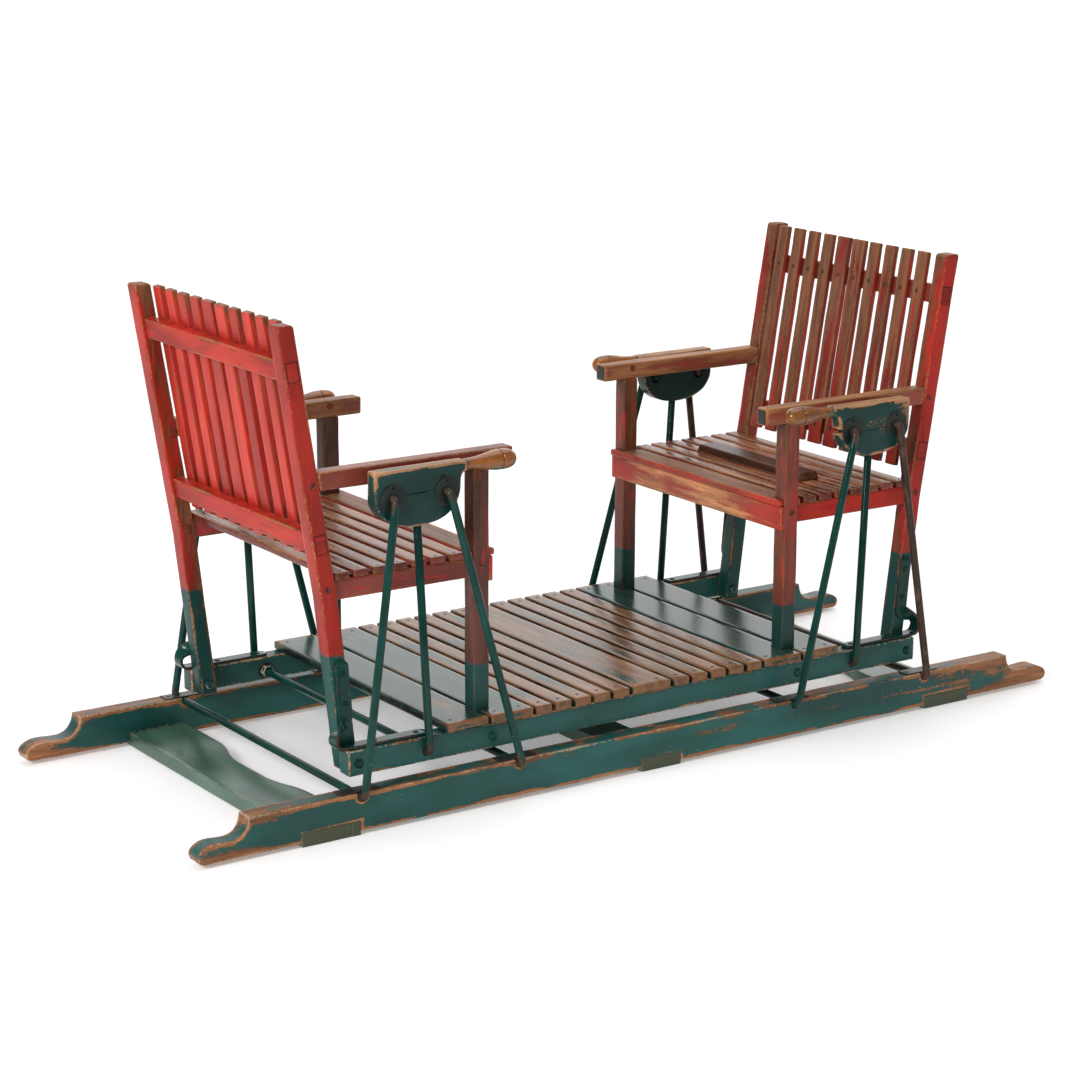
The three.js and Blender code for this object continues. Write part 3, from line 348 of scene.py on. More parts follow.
def outline_rows(points, radius, reach):
    """Rows of a closed outline, counterclockwise, with its sharp corners rounded.

    With unit inward normals a and b of a corner's two sides, the mitre is m = (a + b) / (1 + a.b). The
    rounding is an arc round p + r m that turns from -a to -b. One more point stands on each long side beyond
    the corner's wear. A row holds the point, its way inward up to a limit, its way beyond it, the limit, and
    1 on a rounded corner.
    """
    p = np.asarray(points, float)
    before = p - np.roll(p, 1, 0)
    after = np.roll(p, -1, 0) - p
    length0 = np.linalg.norm(before, axis=1, keepdims=True)
    length1 = np.linalg.norm(after, axis=1, keepdims=True)
    d0 = before / length0
    d1 = after / length1
    a = np.stack([-d0[:, 1], d0[:, 0]], 1)
    b = np.stack([-d1[:, 1], d1[:, 0]], 1)
    dot = np.sum(d0 * d1, 1)
    turn = np.arctan2(d0[:, 0] * d1[:, 1] - d0[:, 1] * d1[:, 0], dot)
    mitre = (a + b) / np.maximum(1 + dot, MITRE_FLOOR)[:, None]
    sharp = turn > SMOOTH_TURN
    tangent = np.tan(np.clip(turn, 0.01, 2.6) / 2)[:, None]
    shorter = np.minimum(length0, length1)
    r = np.where(sharp[:, None], np.minimum(radius, CORNER_SHARE * shorter / tangent), 0.0)
    steps = np.arange(CORNER_STEPS + 1) / CORNER_STEPS
    angle = turn[:, None] * steps[None, :]
    cos, sin = np.cos(angle), np.sin(angle)
    spoke = np.stack([-a[:, :1] * cos + a[:, 1:] * sin, -a[:, :1] * sin - a[:, 1:] * cos], 2)
    arc = (p + mitre * r)[:, None, :] + r[:, None, :] * spoke
    far = np.broadcast_to(mitre[:, None, :], arc.shape)
    near = np.where(sharp[:, None, None], -spoke, far)
    tall = np.ones((len(p), len(steps), 1))
    limit = INSET_SHARE * r[:, None, :] * tall
    arc_rows = np.concatenate([arc, near, far, limit, sharp[:, None, None] * tall], 2)
    run = np.where(sharp[:, None], (radius + reach) * (tangent + 0.25), 0.0)
    none = np.zeros((len(p), 2))
    first = np.concatenate([p - d0 * run, a, a, none], 1)[:, None, :]
    last = np.concatenate([p + d1 * run, b, b, none], 1)[:, None, :]
    rows = np.concatenate([first, arc_rows, last], 1)
    kept = np.broadcast_to(sharp[:, None], rows.shape[:2]).copy()
    kept[:, 1] = True
    roomy = (run + np.roll(run, -1, 0) < INSET_SHARE * length1)[:, 0]
    kept[:, -1] &= roomy
    kept[:, 0] &= np.roll(roomy, 1)
    return rows[kept]


def inset(rows, distance):
    """The outline moved inward: p + near min(d, limit) + far max(d - limit, 0)."""
    limit = rows[:, 6]
    held = np.minimum(distance, limit)[:, None]
    rest = np.maximum(distance - limit, 0)[:, None]
    return rows[:, 0:2] + rows[:, 2:4] * held + rows[:, 4:6] * rest


def held_inset(rows, distance, loops):
    """Insets shortened until none comes nearer to any side of the loops than its own length."""
    start = np.concatenate(loops)
    side = np.concatenate([np.roll(loop, -1, 0) - loop for loop in loops])
    square = np.maximum((side ** 2).sum(1), 1e-12)
    for _ in range(14):
        away = inset(rows, distance)[:, None, :] - start[None, :, :]
        share = np.clip((away * side).sum(2) / square, 0, 1)
        nearest = np.linalg.norm(away - share[:, :, None] * side, axis=2).min(1)
        distance = np.where(nearest < 0.99 * distance, 0.86 * distance, distance)
    return distance


def divided(points, step):
    """A closed outline with its long sides cut into equal lengths no longer than a step."""
    p = np.asarray(points, float)
    following = np.roll(p, -1, 0)
    count = np.maximum(1, np.ceil(np.linalg.norm(following - p, axis=1) / step)).astype(int)
    which = np.repeat(np.arange(len(p)), count)
    start = np.repeat(np.cumsum(count) - count, count)
    share = ((np.arange(len(which)) - start) / count[which])[:, None]
    return p[which] * (1 - share) + following[which] * share


def rectangle(u0, u1, v0, v1):
    """The four corners of a rectangle, counterclockwise."""
    return np.array([[u0, v0], [u1, v0], [u1, v1], [u0, v1]])


def footprint(low, high):
    """A box's rectangle in plan."""
    return rectangle(low[0], high[0], low[1], high[1])


def circle(u, v, radius, sides):
    """Points at u + r cos t, v + r sin t."""
    t = np.linspace(0, 2 * np.pi, sides, endpoint=False)
    return np.stack([u + radius * np.cos(t), v + radius * np.sin(t)], 1)


def bezier(corners, steps):
    """A cubic curve's points without its last: the sum of the four corners by their Bernstein weights."""
    t = np.linspace(0, 1, steps, endpoint=False)[:, None]
    c = np.asarray(corners, float)
    return (1 - t) ** 3 * c[0] + 3 * t * (1 - t) ** 2 * c[1] + 3 * t * t * (1 - t) * c[2] + t ** 3 * c[3]


def smooth_through(points, steps):
    """A Catmull-Rom curve through the points: a cubic whose slope at each is half its neighbours' chord."""
    p = np.asarray(points, float)
    padded = np.concatenate([2 * p[:1] - p[1:2], p, 2 * p[-1:] - p[-2:-1]])
    t = np.linspace(0, 1, steps, endpoint=False)[None, :, None]
    p0, p1, p2, p3 = (padded[i:len(p) - 1 + i, None, :] for i in range(4))
    curve = 0.5 * (2 * p1 + (p2 - p0) * t + (2 * p0 - 5 * p1 + 4 * p2 - p3) * t ** 2
                   + (3 * p1 - p0 - 3 * p2 + p3) * t ** 3)
    return np.concatenate([curve.reshape(-1, p.shape[1]), p[-1:]])


def ripple(points, seed):
    """Gentle unevenness from -1 to 1: the mean of three sines of place with unrelated wavelengths."""
    waves = np.array([[61.0, 47.0, 53.0], [23.0, 31.0, 19.0], [137.0, 101.0, 119.0]])
    padded = np.zeros((len(points), 3))
    padded[:, :points.shape[1]] = points
    phase = seed * np.array([1.7, 2.9, 4.1])
    return np.sin(padded @ waves.T + phase).mean(1)


# Surfaces in their own axes

class Surface:
    """Points with their quads, end faces, place along the grain, and share of edge wear."""

    def __init__(self, points, quads, ends, grain, edge):
        self.points = points
        self.quads = quads
        self.ends = ends
        self.grain = grain
        self.edge = edge


def ring_quads(rings, around, first=0):
    """Quads between neighbouring closed rings, each point joined to the next and to the ring above."""
    i = np.arange(around)
    j = np.arange(rings - 1)[:, None] * around
    following = (i + 1) % around
    corners = [j + i, j + following, j + around + following, j + around + i]
    return (first + np.stack(corners, 2)).reshape(-1, 4)


def ring_ends(rings, around):
    """The faces that close the first ring, turned back, and the last."""
    ring = np.arange(around)
    return [ring[::-1], (rings - 1) * around + ring]


def end_faces(loops, starts, upward):
    """One face over the outer loop, or triangles where there are holes, that face up or down."""
    if len(loops) == 1:
        ring = starts[0] + np.arange(len(loops[0]))
        return [ring if upward else ring[::-1]]
    flat = np.concatenate(loops)
    index = np.concatenate([start + np.arange(len(loop)) for loop, start in zip(loops, starts)])
    triangles = np.array(tessellate_polygon([[Vector((u, v, 0)) for u, v in loop] for loop in loops]))
    a, b, c = (flat[triangles[:, k]] for k in range(3))
    area = (b[:, 0] - a[:, 0]) * (c[:, 1] - a[:, 1]) - (b[:, 1] - a[:, 1]) * (c[:, 0] - a[:, 0])
    real = np.abs(area) > 1e-14
    triangles = triangles[real]
    wrong = (area[real] > 0) != upward
    triangles[wrong] = triangles[wrong][:, ::-1]
    return list(index[triangles])


def slab(outline, low, high, ease, reach, holes=(), along=0, uneven=0.0, seed=0, step=0.05):
    """A board: an outline carried through its thickness, with eased edges.

    The rings lie at inset e (1 - sin t) and depth e (1 - cos t) for t from 0 to a right angle, at both
    faces, with one more ring on each face and side where the wear fades out. The ease e varies along the
    edge by the ripple. Holes have sharp edges, and an edge share below zero for the dirt in the joint.
    """
    loops = [outline_rows(divided(outline, step), ease, reach)]
    loops += [outline_rows(np.asarray(hole)[::-1], 0.0, reach) for hole in holes]
    places = [rows[:, :2] for rows in loops]
    turn = np.linspace(0, np.pi / 2, CORNER_STEPS + 1)
    fade = min(reach, CORNER_SHARE * (high - low - 2 * ease))
    points, quads, shares, starts, ends_low, ends_high = [], [], [], [], [], []
    count = 0
    for number, rows in enumerate(loops):
        depth = ease if number == 0 else min(ease, HOLE_EASE)
        e = depth * (1 + uneven * ripple(rows[:, :2], seed))
        wide = e + (reach if number == 0 else HOLE_DIRT)
        cap = held_inset(rows, wide, places)
        spots = [(cap, 0 * e, 1 - cap / wide, 0.0)]
        spots += [(e * (1 - math.sin(t)), e * (1 - math.cos(t)), 1.0, 1.0) for t in turn]
        spots += [(0 * e, e + fade, 0.0, 1.0)]
        rings = [(inset(rows, d), low + w, share, corner) for d, w, share, corner in spots]
        rings += [(inset(rows, d), high - w, share, corner) for d, w, share, corner in reversed(spots)]
        for place, w, share, corner in rings:
            points.append(np.column_stack([place, w * np.ones(len(rows))]))
            wear = -1.0 * share if number else share + (1 - share) * corner * rows[:, 7]
            shares.append(wear * np.ones(len(rows)))
        quads.append(ring_quads(len(rings), len(rows), count))
        starts.append(count)
        ends_low.append(rings[0][0])
        ends_high.append(rings[-1][0])
        count += len(rings) * len(rows)
    last = [start + (2 * len(spots) - 1) * len(loop) for start, loop in zip(starts, ends_low)]
    ends = end_faces(ends_low, starts, False) + end_faces(ends_high, last, True)
    points = np.concatenate(points)
    order = [0, 1, 2] if along == 0 else [1, 0, 2]
    return Surface(points, np.concatenate(quads), ends, points[:, order], np.concatenate(shares))


# Length of straight rod on each side of a bend over which its wear fades
BEND_LEAD = 0.03


def bent_line(corners, bend, steps):
    """Points along straight runs joined by arcs, each round the corner plus the mitre times the radius."""
    c = np.asarray(corners, float)
    runs = unit(np.diff(c, axis=0))
    points, bends = [c[:1]], [np.zeros(1)]
    for i in range(1, len(c) - 1):
        d0, d1 = runs[i - 1], runs[i]
        angle = math.acos(float(np.clip(d0 @ d1, -1, 1)))
        centre = c[i] + unit(d1 - d0) * bend / math.cos(angle / 2)
        start = c[i] - d0 * bend * math.tan(angle / 2) - centre
        side = d0 * bend
        t = np.linspace(0, angle, steps + 1)[:, None]
        arc = centre + start * np.cos(t) + side * np.sin(t)
        points += [arc[:1] - d0 * BEND_LEAD, arc, arc[-1:] + d1 * BEND_LEAD]
        bends += [np.zeros(1), np.ones(steps + 1), np.zeros(1)]
    points.append(c[-1:])
    bends.append(np.zeros(1))
    return np.concatenate(points), np.concatenate(bends)


def tube(path, bends, normal, radius, sides):
    """A round bar in one plane: path + r (cos t n + sin t (tangent x n)), with a smaller ring at each end."""
    tangent = unit(np.gradient(path, axis=0))
    ease = radius * 0.2
    tips = path[:1] + tangent[:1] * ease, path[-1:] - tangent[-1:] * ease
    path = np.concatenate([path[:1], tips[0], path[1:-1], tips[1], path[-1:]])
    tangent = np.concatenate([tangent[:1], tangent, tangent[-1:]])
    bends = np.concatenate([bends[:1], bends, bends[-1:]])
    size = np.full(len(path), radius)
    size[[0, -1]] = radius - ease
    t = np.linspace(0, 2 * np.pi, sides, endpoint=False)
    side = np.cross(tangent, normal)
    spokes = np.cos(t)[None, :, None] * normal + np.sin(t)[None, :, None] * side[:, None, :]
    points = path[:, None, :] + size[:, None, None] * spokes
    run = run_along(path)[:, None]
    grain = np.stack(np.broadcast_arrays(run, radius * np.cos(t), radius * np.sin(t)), 2)
    edge = np.broadcast_to(bends[:, None], points.shape[:2])
    return Surface(points.reshape(-1, 3), ring_quads(len(path), sides), ring_ends(len(path), sides),
                   grain.reshape(-1, 3), edge.reshape(-1))


def turned(profile, sides):
    """A lathe form along w: points at r cos t, r sin t and w for each pair (w, r) of the profile."""
    profile = np.asarray(profile, float)
    t = np.linspace(0, 2 * np.pi, sides, endpoint=False)
    r = np.maximum(profile[:, 1:], 1e-5)
    points = np.stack(np.broadcast_arrays(r * np.cos(t), r * np.sin(t), profile[:, :1]), 2).reshape(-1, 3)
    return Surface(points, ring_quads(len(profile), sides), ring_ends(len(profile), sides),
                   points[:, [2, 0, 1]], np.zeros(len(points)))


# Rings of a head as shares of its radius, and half the width of its slot
HEAD_SHARES = np.array([1.0, 1.0, 0.985, 0.93, 0.82, 0.62, 0.4, 0.2, 0.001])
SLOT_HALF = 0.17


def head(radius, height, slot=0.0, sides=20):
    """A bolt head along w: height h sqrt(1 - 0.8 (r / R)^2), less a slot across it, with a short rim."""
    share = HEAD_SHARES[:, None]
    t = np.linspace(0, 2 * np.pi, sides, endpoint=False)
    u = radius * share * np.cos(t)
    v = radius * share * np.sin(t)
    dome = height * np.sqrt(1 - 0.8 * np.minimum(HEAD_SHARES, 0.985) ** 2)
    dome[0] = 0.0
    dome[1] *= 0.75
    w = np.broadcast_to(dome[:, None], u.shape).copy()
    within = (np.abs(v) < radius * SLOT_HALF) & (share < 0.999) & (slot > 0)
    w[within] -= slot
    points = np.stack([u, v, np.maximum(w, 0)], 2).reshape(-1, 3)
    edge = np.where(within | (share == 1.0), -1.0, 0.0).reshape(-1)
    return Surface(points, ring_quads(len(share), sides), ring_ends(len(share), sides), points, edge)


def strap(line, twist, width, thick, narrow):
    """A flat iron strap: a rounded section carried along a line in X and Z and turned by the twist.

    Its width lies along cos(twist) times the line's normal plus sin(twist) times Y. On the post its inner
    face keeps to y = 0, while on the rail it reaches from y = 0 to its width.
    """
    tangent = unit(np.gradient(line, axis=0))
    along = np.stack([tangent[:, 0], np.zeros(len(line)), tangent[:, 1]], 1)
    across = np.stack([-tangent[:, 1] * np.cos(twist), np.sin(twist), tangent[:, 0] * np.cos(twist)], 1)
    up = np.cross(across, along)
    reach = width / 2 * np.sin(twist) + thick / 2 * np.cos(twist)
    middle = np.stack([line[:, 0], reach, line[:, 1]], 1)[:, None, :]
    outline = rectangle(-width / 2, width / 2, -thick / 2, thick / 2)
    section = outline_rows(outline, thick * 0.2, thick * 0.4)
    shape, edge = section[:, :2], section[:, 7]
    squeeze = (1 - narrow)[:, None] * shape[None, :, 0]
    points = middle + squeeze[:, :, None] * across[:, None, :] + shape[None, :, 1:] * up[:, None, :]
    run = run_along(line)[:, None]
    grain = np.stack(np.broadcast_arrays(run, shape[None, :, 0], shape[None, :, 1]), 2)
    wear = np.broadcast_to(edge, points.shape[:2])
    return Surface(points.reshape(-1, 3), ring_quads(len(line), len(shape)),
                   ring_ends(len(line), len(shape)), grain.reshape(-1, 3), wear.reshape(-1))


# Pieces in the frame

class Piece:
    """Gathers surfaces in the frame and turns them into one Blender object."""

    def __init__(self, name):
        self.name = name
        self.points = []
        self.faces = []
        self.grain = []
        self.edge = []
        self.bare = []
        self.tone = []
        self.count = 0

    def add(self, surface, axes=PLAN, origin=(0, 0, 0), signs=(1, 1, 1), seed=0, bare=0.0, tone=0.5):
        """Places a surface: world = signs (axes local + origin). A mirrored one has its faces turned."""
        matrix = np.diag(signs) @ axes
        world = surface.points @ matrix.T + np.asarray(origin, float) * signs
        step = -1 if np.linalg.det(matrix) < 0 else 1
        for group in (surface.quads.tolist(), [list(map(int, face)) for face in surface.ends]):
            self.faces += [[index + self.count for index in face][::step] for face in group]
        self.count += len(world)
        self.points.append(world)
        self.grain.append(surface.grain + np.array([seed * 1.37, seed * 0.71, seed * 0.53]))
        self.edge.append(surface.edge)
        self.bare.append(bare(world) if callable(bare) else np.full(len(world), float(bare)))
        self.tone.append(np.full(len(world), float(tone)))

    def finish(self, body, slot, finish, *nodes):
        """Makes the mesh, with the grain, edge, bare and tone attributes that the finishes read."""
        mesh = bpy.data.meshes.new(self.name)
        mesh.from_pydata(np.concatenate(self.points).tolist(), [], self.faces)
        mesh.shade_smooth()
        grain = mesh.attributes.new("grain", "FLOAT_VECTOR", "POINT")
        grain.data.foreach_set("vector", np.concatenate(self.grain).astype(np.float32).ravel())
        for name, values in (("edge", self.edge), ("bare", self.bare), ("tone", self.tone)):
            layer = mesh.attributes.new(name, "FLOAT", "POINT")
            layer.data.foreach_set("value", np.concatenate(values).astype(np.float32))
        mesh.materials.append(FINISH[finish])
        piece = bpy.data.objects.new(self.name, mesh)
        bpy.context.scene.collection.objects.link(piece)
        if nodes:
            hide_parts(*nodes)
        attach(piece, body)


def facing(direction):
    """Axes whose w points along a direction: u and v are any two at right angles to it."""
    w = unit(np.asarray(direction, float))
    u = unit(np.cross([0.0, 0.0, 1.0] if abs(w[2]) < 0.9 else [1.0, 0.0, 0.0], w))
    return np.column_stack([u, np.cross(w, u), w])


OUTWARD = facing((0, 1, 0))
INWARD = facing((0, -1, 0))
FORWARD = facing((-1, 0, 0))


def spin(angle):
    """A turn about w by an angle."""
    cos, sin = math.cos(angle), math.sin(angle)
    return np.array([[cos, -sin, 0], [sin, cos, 0], [0, 0, 1]])


def nut(radius, thick, ease):
    """A hexagonal nut along w: a circle of six sides carried through its thickness."""
    return slab(circle(0, 0, radius, 6), 0, thick, ease, NUT_REACH)


def scattered(seed):
    """A repeatable number from 0 to 1 for the seed-th like piece: the fraction of a large sine."""
    value = math.sin(seed * 12.9898 + 4.1) * 43758.5453
    return value - math.floor(value)


# Finishes

class Tap:
    """One output of a node. Sums on it add Math nodes to its finish."""

    def __init__(self, recipe, link):
        self.recipe = recipe
        self.link = link

    def __add__(self, other):
        return self.recipe.math("ADD", self, other)

    def __radd__(self, other):
        return self.recipe.math("ADD", other, self)

    def __sub__(self, other):
        return self.recipe.math("SUBTRACT", self, other)

    def __rsub__(self, other):
        return self.recipe.math("SUBTRACT", other, self)

    def __mul__(self, other):
        return self.recipe.math("MULTIPLY", self, other)

    def __rmul__(self, other):
        return self.recipe.math("MULTIPLY", other, self)

    def between(self, low, high):
        """0 below low, 1 above high, and a smooth step between them."""
        return self.recipe.node(
            "ShaderNodeMapRange", {"interpolation_type": "SMOOTHSTEP"},
            {"Value": self, "From Min": low, "From Max": high})


SHADER_INPUTS = {
    "specular_ior_level": "Specular IOR Level", "coat_weight": "Coat Weight",
    "coat_roughness": "Coat Roughness", "emission_color": "Emission Color",
    "emission_strength": "Emission Strength",
}


class Recipe:
    """The nodes of one finish, which end in one Principled shader."""

    def __init__(self, name):
        self.material = bpy.data.materials.new(name)
        self.material.use_nodes = True
        self.tree = self.material.node_tree
        self.tree.nodes.clear()
        self.shader = self.tree.nodes.new("ShaderNodeBsdfPrincipled")
        output = self.tree.nodes.new("ShaderNodeOutputMaterial")
        self.tree.links.new(self.shader.outputs[0], output.inputs[0])
        self.grain = self.node("ShaderNodeAttribute", {"attribute_name": "grain"}, output="Vector")
        self.place = self.node("ShaderNodeTexCoord", output="Object")

    def node(self, kind, settings=None, sockets=None, output=0):
        """Adds a node with its settings and sockets, and returns one of its outputs."""
        node = self.tree.nodes.new(kind)
        for key, value in (settings or {}).items():
            setattr(node, key, value)
        for key, value in (sockets or {}).items():
            self.feed(node.inputs[key], value)
        return Tap(self, node.outputs[output])

    def feed(self, socket, value):
        """Links a tap to a socket, or sets a number or colour on it."""
        if isinstance(value, Tap):
            self.tree.links.new(value.link, socket)
        else:
            socket.default_value = value

    def math(self, operation, first, second):
        """A sum of two values, of which at least one varies over the surface."""
        return self.node("ShaderNodeMath", {"operation": operation}, {0: first, 1: second})

    def share(self, name):
        """One of the mesh's number attributes."""
        return self.node("ShaderNodeAttribute", {"attribute_name": name}, output="Fac")

    def mix(self, share, first, second):
        """The first colour where the share is 0, the second where it is 1."""
        return self.node("ShaderNodeMix", {"data_type": "RGBA"}, {0: share, 6: first, 7: second}, output=2)

    def noise(self, factors, detail=2.0, roughness=0.5):
        """Noise about 0 whose frequency along and across the grain is given in cycles per metre."""
        vector = self.node("ShaderNodeVectorMath", {"operation": "MULTIPLY"}, {0: self.grain, 1: factors})
        value = self.node("ShaderNodeTexNoise", {"noise_dimensions": "3D"},
                          {"Vector": vector, "Scale": 1.0, "Detail": detail, "Roughness": roughness})
        return value - 0.5

    def axis(self, letter):
        """One coordinate of the place in the frame."""
        return self.node("ShaderNodeSeparateXYZ", None, {0: self.place}, output=letter)

    def surface(self, colour, roughness, height=None, depth=0.001, **constants):
        """Feeds the shader: colour, roughness, a bump of that height times that depth, and plain numbers."""
        self.feed(self.shader.inputs["Base Color"], colour)
        self.feed(self.shader.inputs["Roughness"], roughness)
        if height is not None:
            bump = self.node("ShaderNodeBump", None, {"Strength": 1.0, "Distance": depth, "Height": height})
            self.feed(self.shader.inputs["Normal"], bump)
        for name, value in constants.items():
            self.shader.inputs[SHADER_INPUTS[name]].default_value = value
        return self.material


def scaled(colour, factor):
    """A colour made lighter or darker by a factor."""
    return tuple(min(1.0, part * factor) for part in tuple(colour)[:3]) + (1.0,)


def timber(recipe, colour, light=1.5, dark=0.55):
    """Brown wood: long figure, fine pores along the grain, and the grain's own relief."""
    figure = recipe.noise((5, 55, 55), 3.0, 0.6)
    pores = recipe.noise((28, 520, 520), 2.0, 0.6)
    tint = (figure * 1.7 + pores * 0.9 + 0.5).between(0.05, 0.95)
    return recipe.mix(tint, scaled(colour, dark), scaled(colour, light)), figure * 0.4 + pores * 0.6


def aged(recipe, colour, pale):
    """Dirt where the edge share is below zero, as round holes, and a few small pale specks."""
    dirt = (recipe.share("edge") * -1).between(0.2, 0.9)
    colour = recipe.mix(dirt * 0.9, colour, SOOT_AND_SHADE_BLACK)
    dots = recipe.noise((330, 330, 330), 0.0).between(0.27, 0.31)
    where = recipe.noise((29, 29, 29), 1.0).between(0.10, 0.20)
    return recipe.mix(dots * where * pale, colour, (0.62, 0.56, 0.46, 1))


# What a painted finish starts from. The level adds wear everywhere, soft is the half width of the step, pale
# and the corner colour to the rubbed corners' pale line, partly wear and partly painted highlight, second and
# split to the coat below a height, third to the blotches, splash to the spatter, band to the levels of a
# rail's two edges, and ends to sawn ends and to the dark slat sides, partly painted shade between the slats.
PAINT = {
    "level": 0.0, "edge_wear": 0.5, "streaks": 0.5, "flakes": 0.5, "soft": 0.04, "gloss": 0.34,
    "sheen": 0.25, "pale": 0.7, "worn_arris_highlight": (0.66, 0.50, 0.34, 1), "second": None, "split": None,
    "third": None, "splash": None, "grime": 0.5, "specks": 0.6, "band": None,
    "ends": (0.026, 0.031, 0.024, 1),
}

# How far wear runs from a rail's edges, the wear at which paint is gone, and the darkest colour, of dirt and
# of painted shade
BAND_REACH = 0.020
WORN_THROUGH = 0.40
SOOT_AND_SHADE_BLACK = (0.006, 0.005, 0.004, 1)


def worn_paint(name, paint, wood, **changes):
    """Old paint over wood. Wear grows with the edge and bare shares, large blotches, streaks and fine chips.

    The sum of those shares is cut by a step, narrow for enamel that flakes off along an irregular line and
    wide for paint that is rubbed through, with a darker rim between them.
    """
    s = {**PAINT, **changes}
    recipe = Recipe(name)
    wood_colour, relief = timber(recipe, wood)
    blotch = recipe.noise((8, 17, 17), 4.0, 0.6)
    streak = recipe.noise((6, 110, 110), 3.0, 0.6)
    chips = recipe.noise((150, 260, 260), 3.0, 0.7)
    fade = recipe.noise((4, 11, 11), 2.0, 0.5)
    edge = recipe.share("edge")
    bare = recipe.share("bare")
    tone = recipe.share("tone") - 0.5
    faded = (fade * 2.2 + tone * 0.7 + 0.5).between(0, 1)
    coat = recipe.mix(faded, scaled(paint, 0.66), scaled(paint, 1.35))
    if s["third"] is not None:
        clouds = (blotch * 1.8 + streak * 0.2 + 0.28).between(0.3, 0.7)
        coat = recipe.mix(clouds * 0.8, coat, s["third"])
    level = s["level"]
    if s["second"] is not None:
        height = recipe.axis("Z") + streak * 0.010 + blotch * 0.016
        below = 1 - height.between(s["split"] - 0.004, s["split"] + 0.004)
        faded = (fade * 2.2 + 0.5).between(0, 1)
        low_coat = recipe.mix(faded, scaled(s["second"], 0.75), scaled(s["second"], 1.3))
        coat = recipe.mix(below, coat, low_coat)
        level = level - below * 0.25
    patches = recipe.noise((9, 26, 26), 4.0, 0.68) * 4.6 + 0.8
    reach = edge
    if s["band"] is not None:
        low, high = s["band"]
        rise = recipe.axis("Z")
        lower, upper = rise.between(low, low + BAND_REACH), rise.between(high - BAND_REACH, high)
        reach = edge + (1 - lower + upper) * 0.7
    worn = (reach * patches * s["edge_wear"] + bare + blotch * 1.2 + streak * s["streaks"]
            + chips * s["flakes"] + tone * 0.25 + level)
    gone = worn.between(WORN_THROUGH - s["soft"], WORN_THROUGH + s["soft"])
    rim = worn.between(0.30 - s["soft"], 0.36) - gone
    colour = recipe.mix(rim * 0.4, coat, scaled(wood, 0.4))
    colour = recipe.mix(gone, colour, wood_colour)
    if s["splash"] is not None:
        spatter = recipe.noise((9, 62, 62), 3.0, 0.65)
        bright = (spatter + tone * 0.1 - bare * 0.2).between(0.09, 0.13)
        if s["second"] is not None:
            bright = bright * (1 - below)
        colour = recipe.mix(bright * 0.7, colour, s["splash"])
    # A pale line along the rounded edges: rubbed wear, and a painted highlight where the edges would catch
    # the light
    worn_arris_highlight = (edge * 0.8 + chips * 1.2 + blotch * 0.9).between(0.72, 0.98)
    colour = recipe.mix(worn_arris_highlight * s["pale"], colour, s["worn_arris_highlight"])
    # Sawn ends, and the dark slat sides that are partly painted shade, where the bare share is far below zero
    colour = recipe.mix((bare * -1).between(0.7, 0.8), colour, s["ends"])
    grime = (recipe.noise((26, 60, 60), 3.0, 0.65) * 1.6 - edge * 0.15).between(0.2, 0.5)
    colour = recipe.mix(grime * s["grime"], colour, scaled(wood, 0.2))
    colour = aged(recipe, colour, s["specks"])
    rough = gone * 0.12 + chips * s["flakes"] * 0.4 + s["gloss"]
    height = relief * 0.35 - gone * 0.5 + chips * s["flakes"] * 0.5
    return recipe.surface(colour, rough, height, 0.0007, specular_ior_level=s["sheen"])


def iron_finish(name, paint, iron, level, gloss):
    """Enamel on iron, worn to brown metal at the bends, with runs along the rod, dents and pale specks."""
    recipe = Recipe(name)
    blotch = recipe.noise((22, 60, 60), 3.0, 0.6)
    chips = recipe.noise((240, 300, 300), 2.0, 0.7)
    rust = recipe.mix((blotch * 2 + 0.5).between(0, 1), scaled(iron, 0.7), scaled(iron, 1.7))
    faded = (recipe.noise((14, 30, 30)) * 2 + 0.5).between(0, 1)
    coat = recipe.mix(faded, scaled(paint, 0.7), scaled(paint, 1.4))
    worn = recipe.share("edge") * 0.42 + recipe.share("bare") + blotch * 1.1 + chips * 0.7 + level
    gone = worn.between(0.36, 0.44)
    colour = aged(recipe, recipe.mix(gone, coat, rust), 0.5)
    rough = gone * 0.14 + chips * 0.2 + gloss
    return recipe.surface(colour, rough, chips * 0.4 - gone * 0.5, 0.0005, specular_ior_level=0.2)


def varnished(name, varnish, green):
    """Amber varnished maple: grain lines, dirty blotches, a darker groove and neck, and smudges of green
    paint.
    """
    recipe = Recipe(name)
    wood, relief = timber(recipe, varnish, 1.45, 0.5)
    # Dirty blotches from noise, and darker where the edge share marks the groove and the neck
    dirt = (recipe.noise((40, 40, 40), 3.0, 0.6) + recipe.share("edge") * 0.7).between(0.08, 0.5)
    colour = recipe.mix(dirt * 0.8, wood, scaled(varnish, 0.16))
    smudge = (recipe.noise((34, 46, 46), 3.0, 0.65) + recipe.share("bare")).between(0.15, 0.24)
    colour = recipe.mix(smudge * 0.8, colour, scaled(green, 1.5))
    return recipe.surface(colour, 0.3 + dirt * 0.2, relief * 0.3, 0.0004, specular_ior_level=0.2,
                          coat_weight=0.6, coat_roughness=0.04)


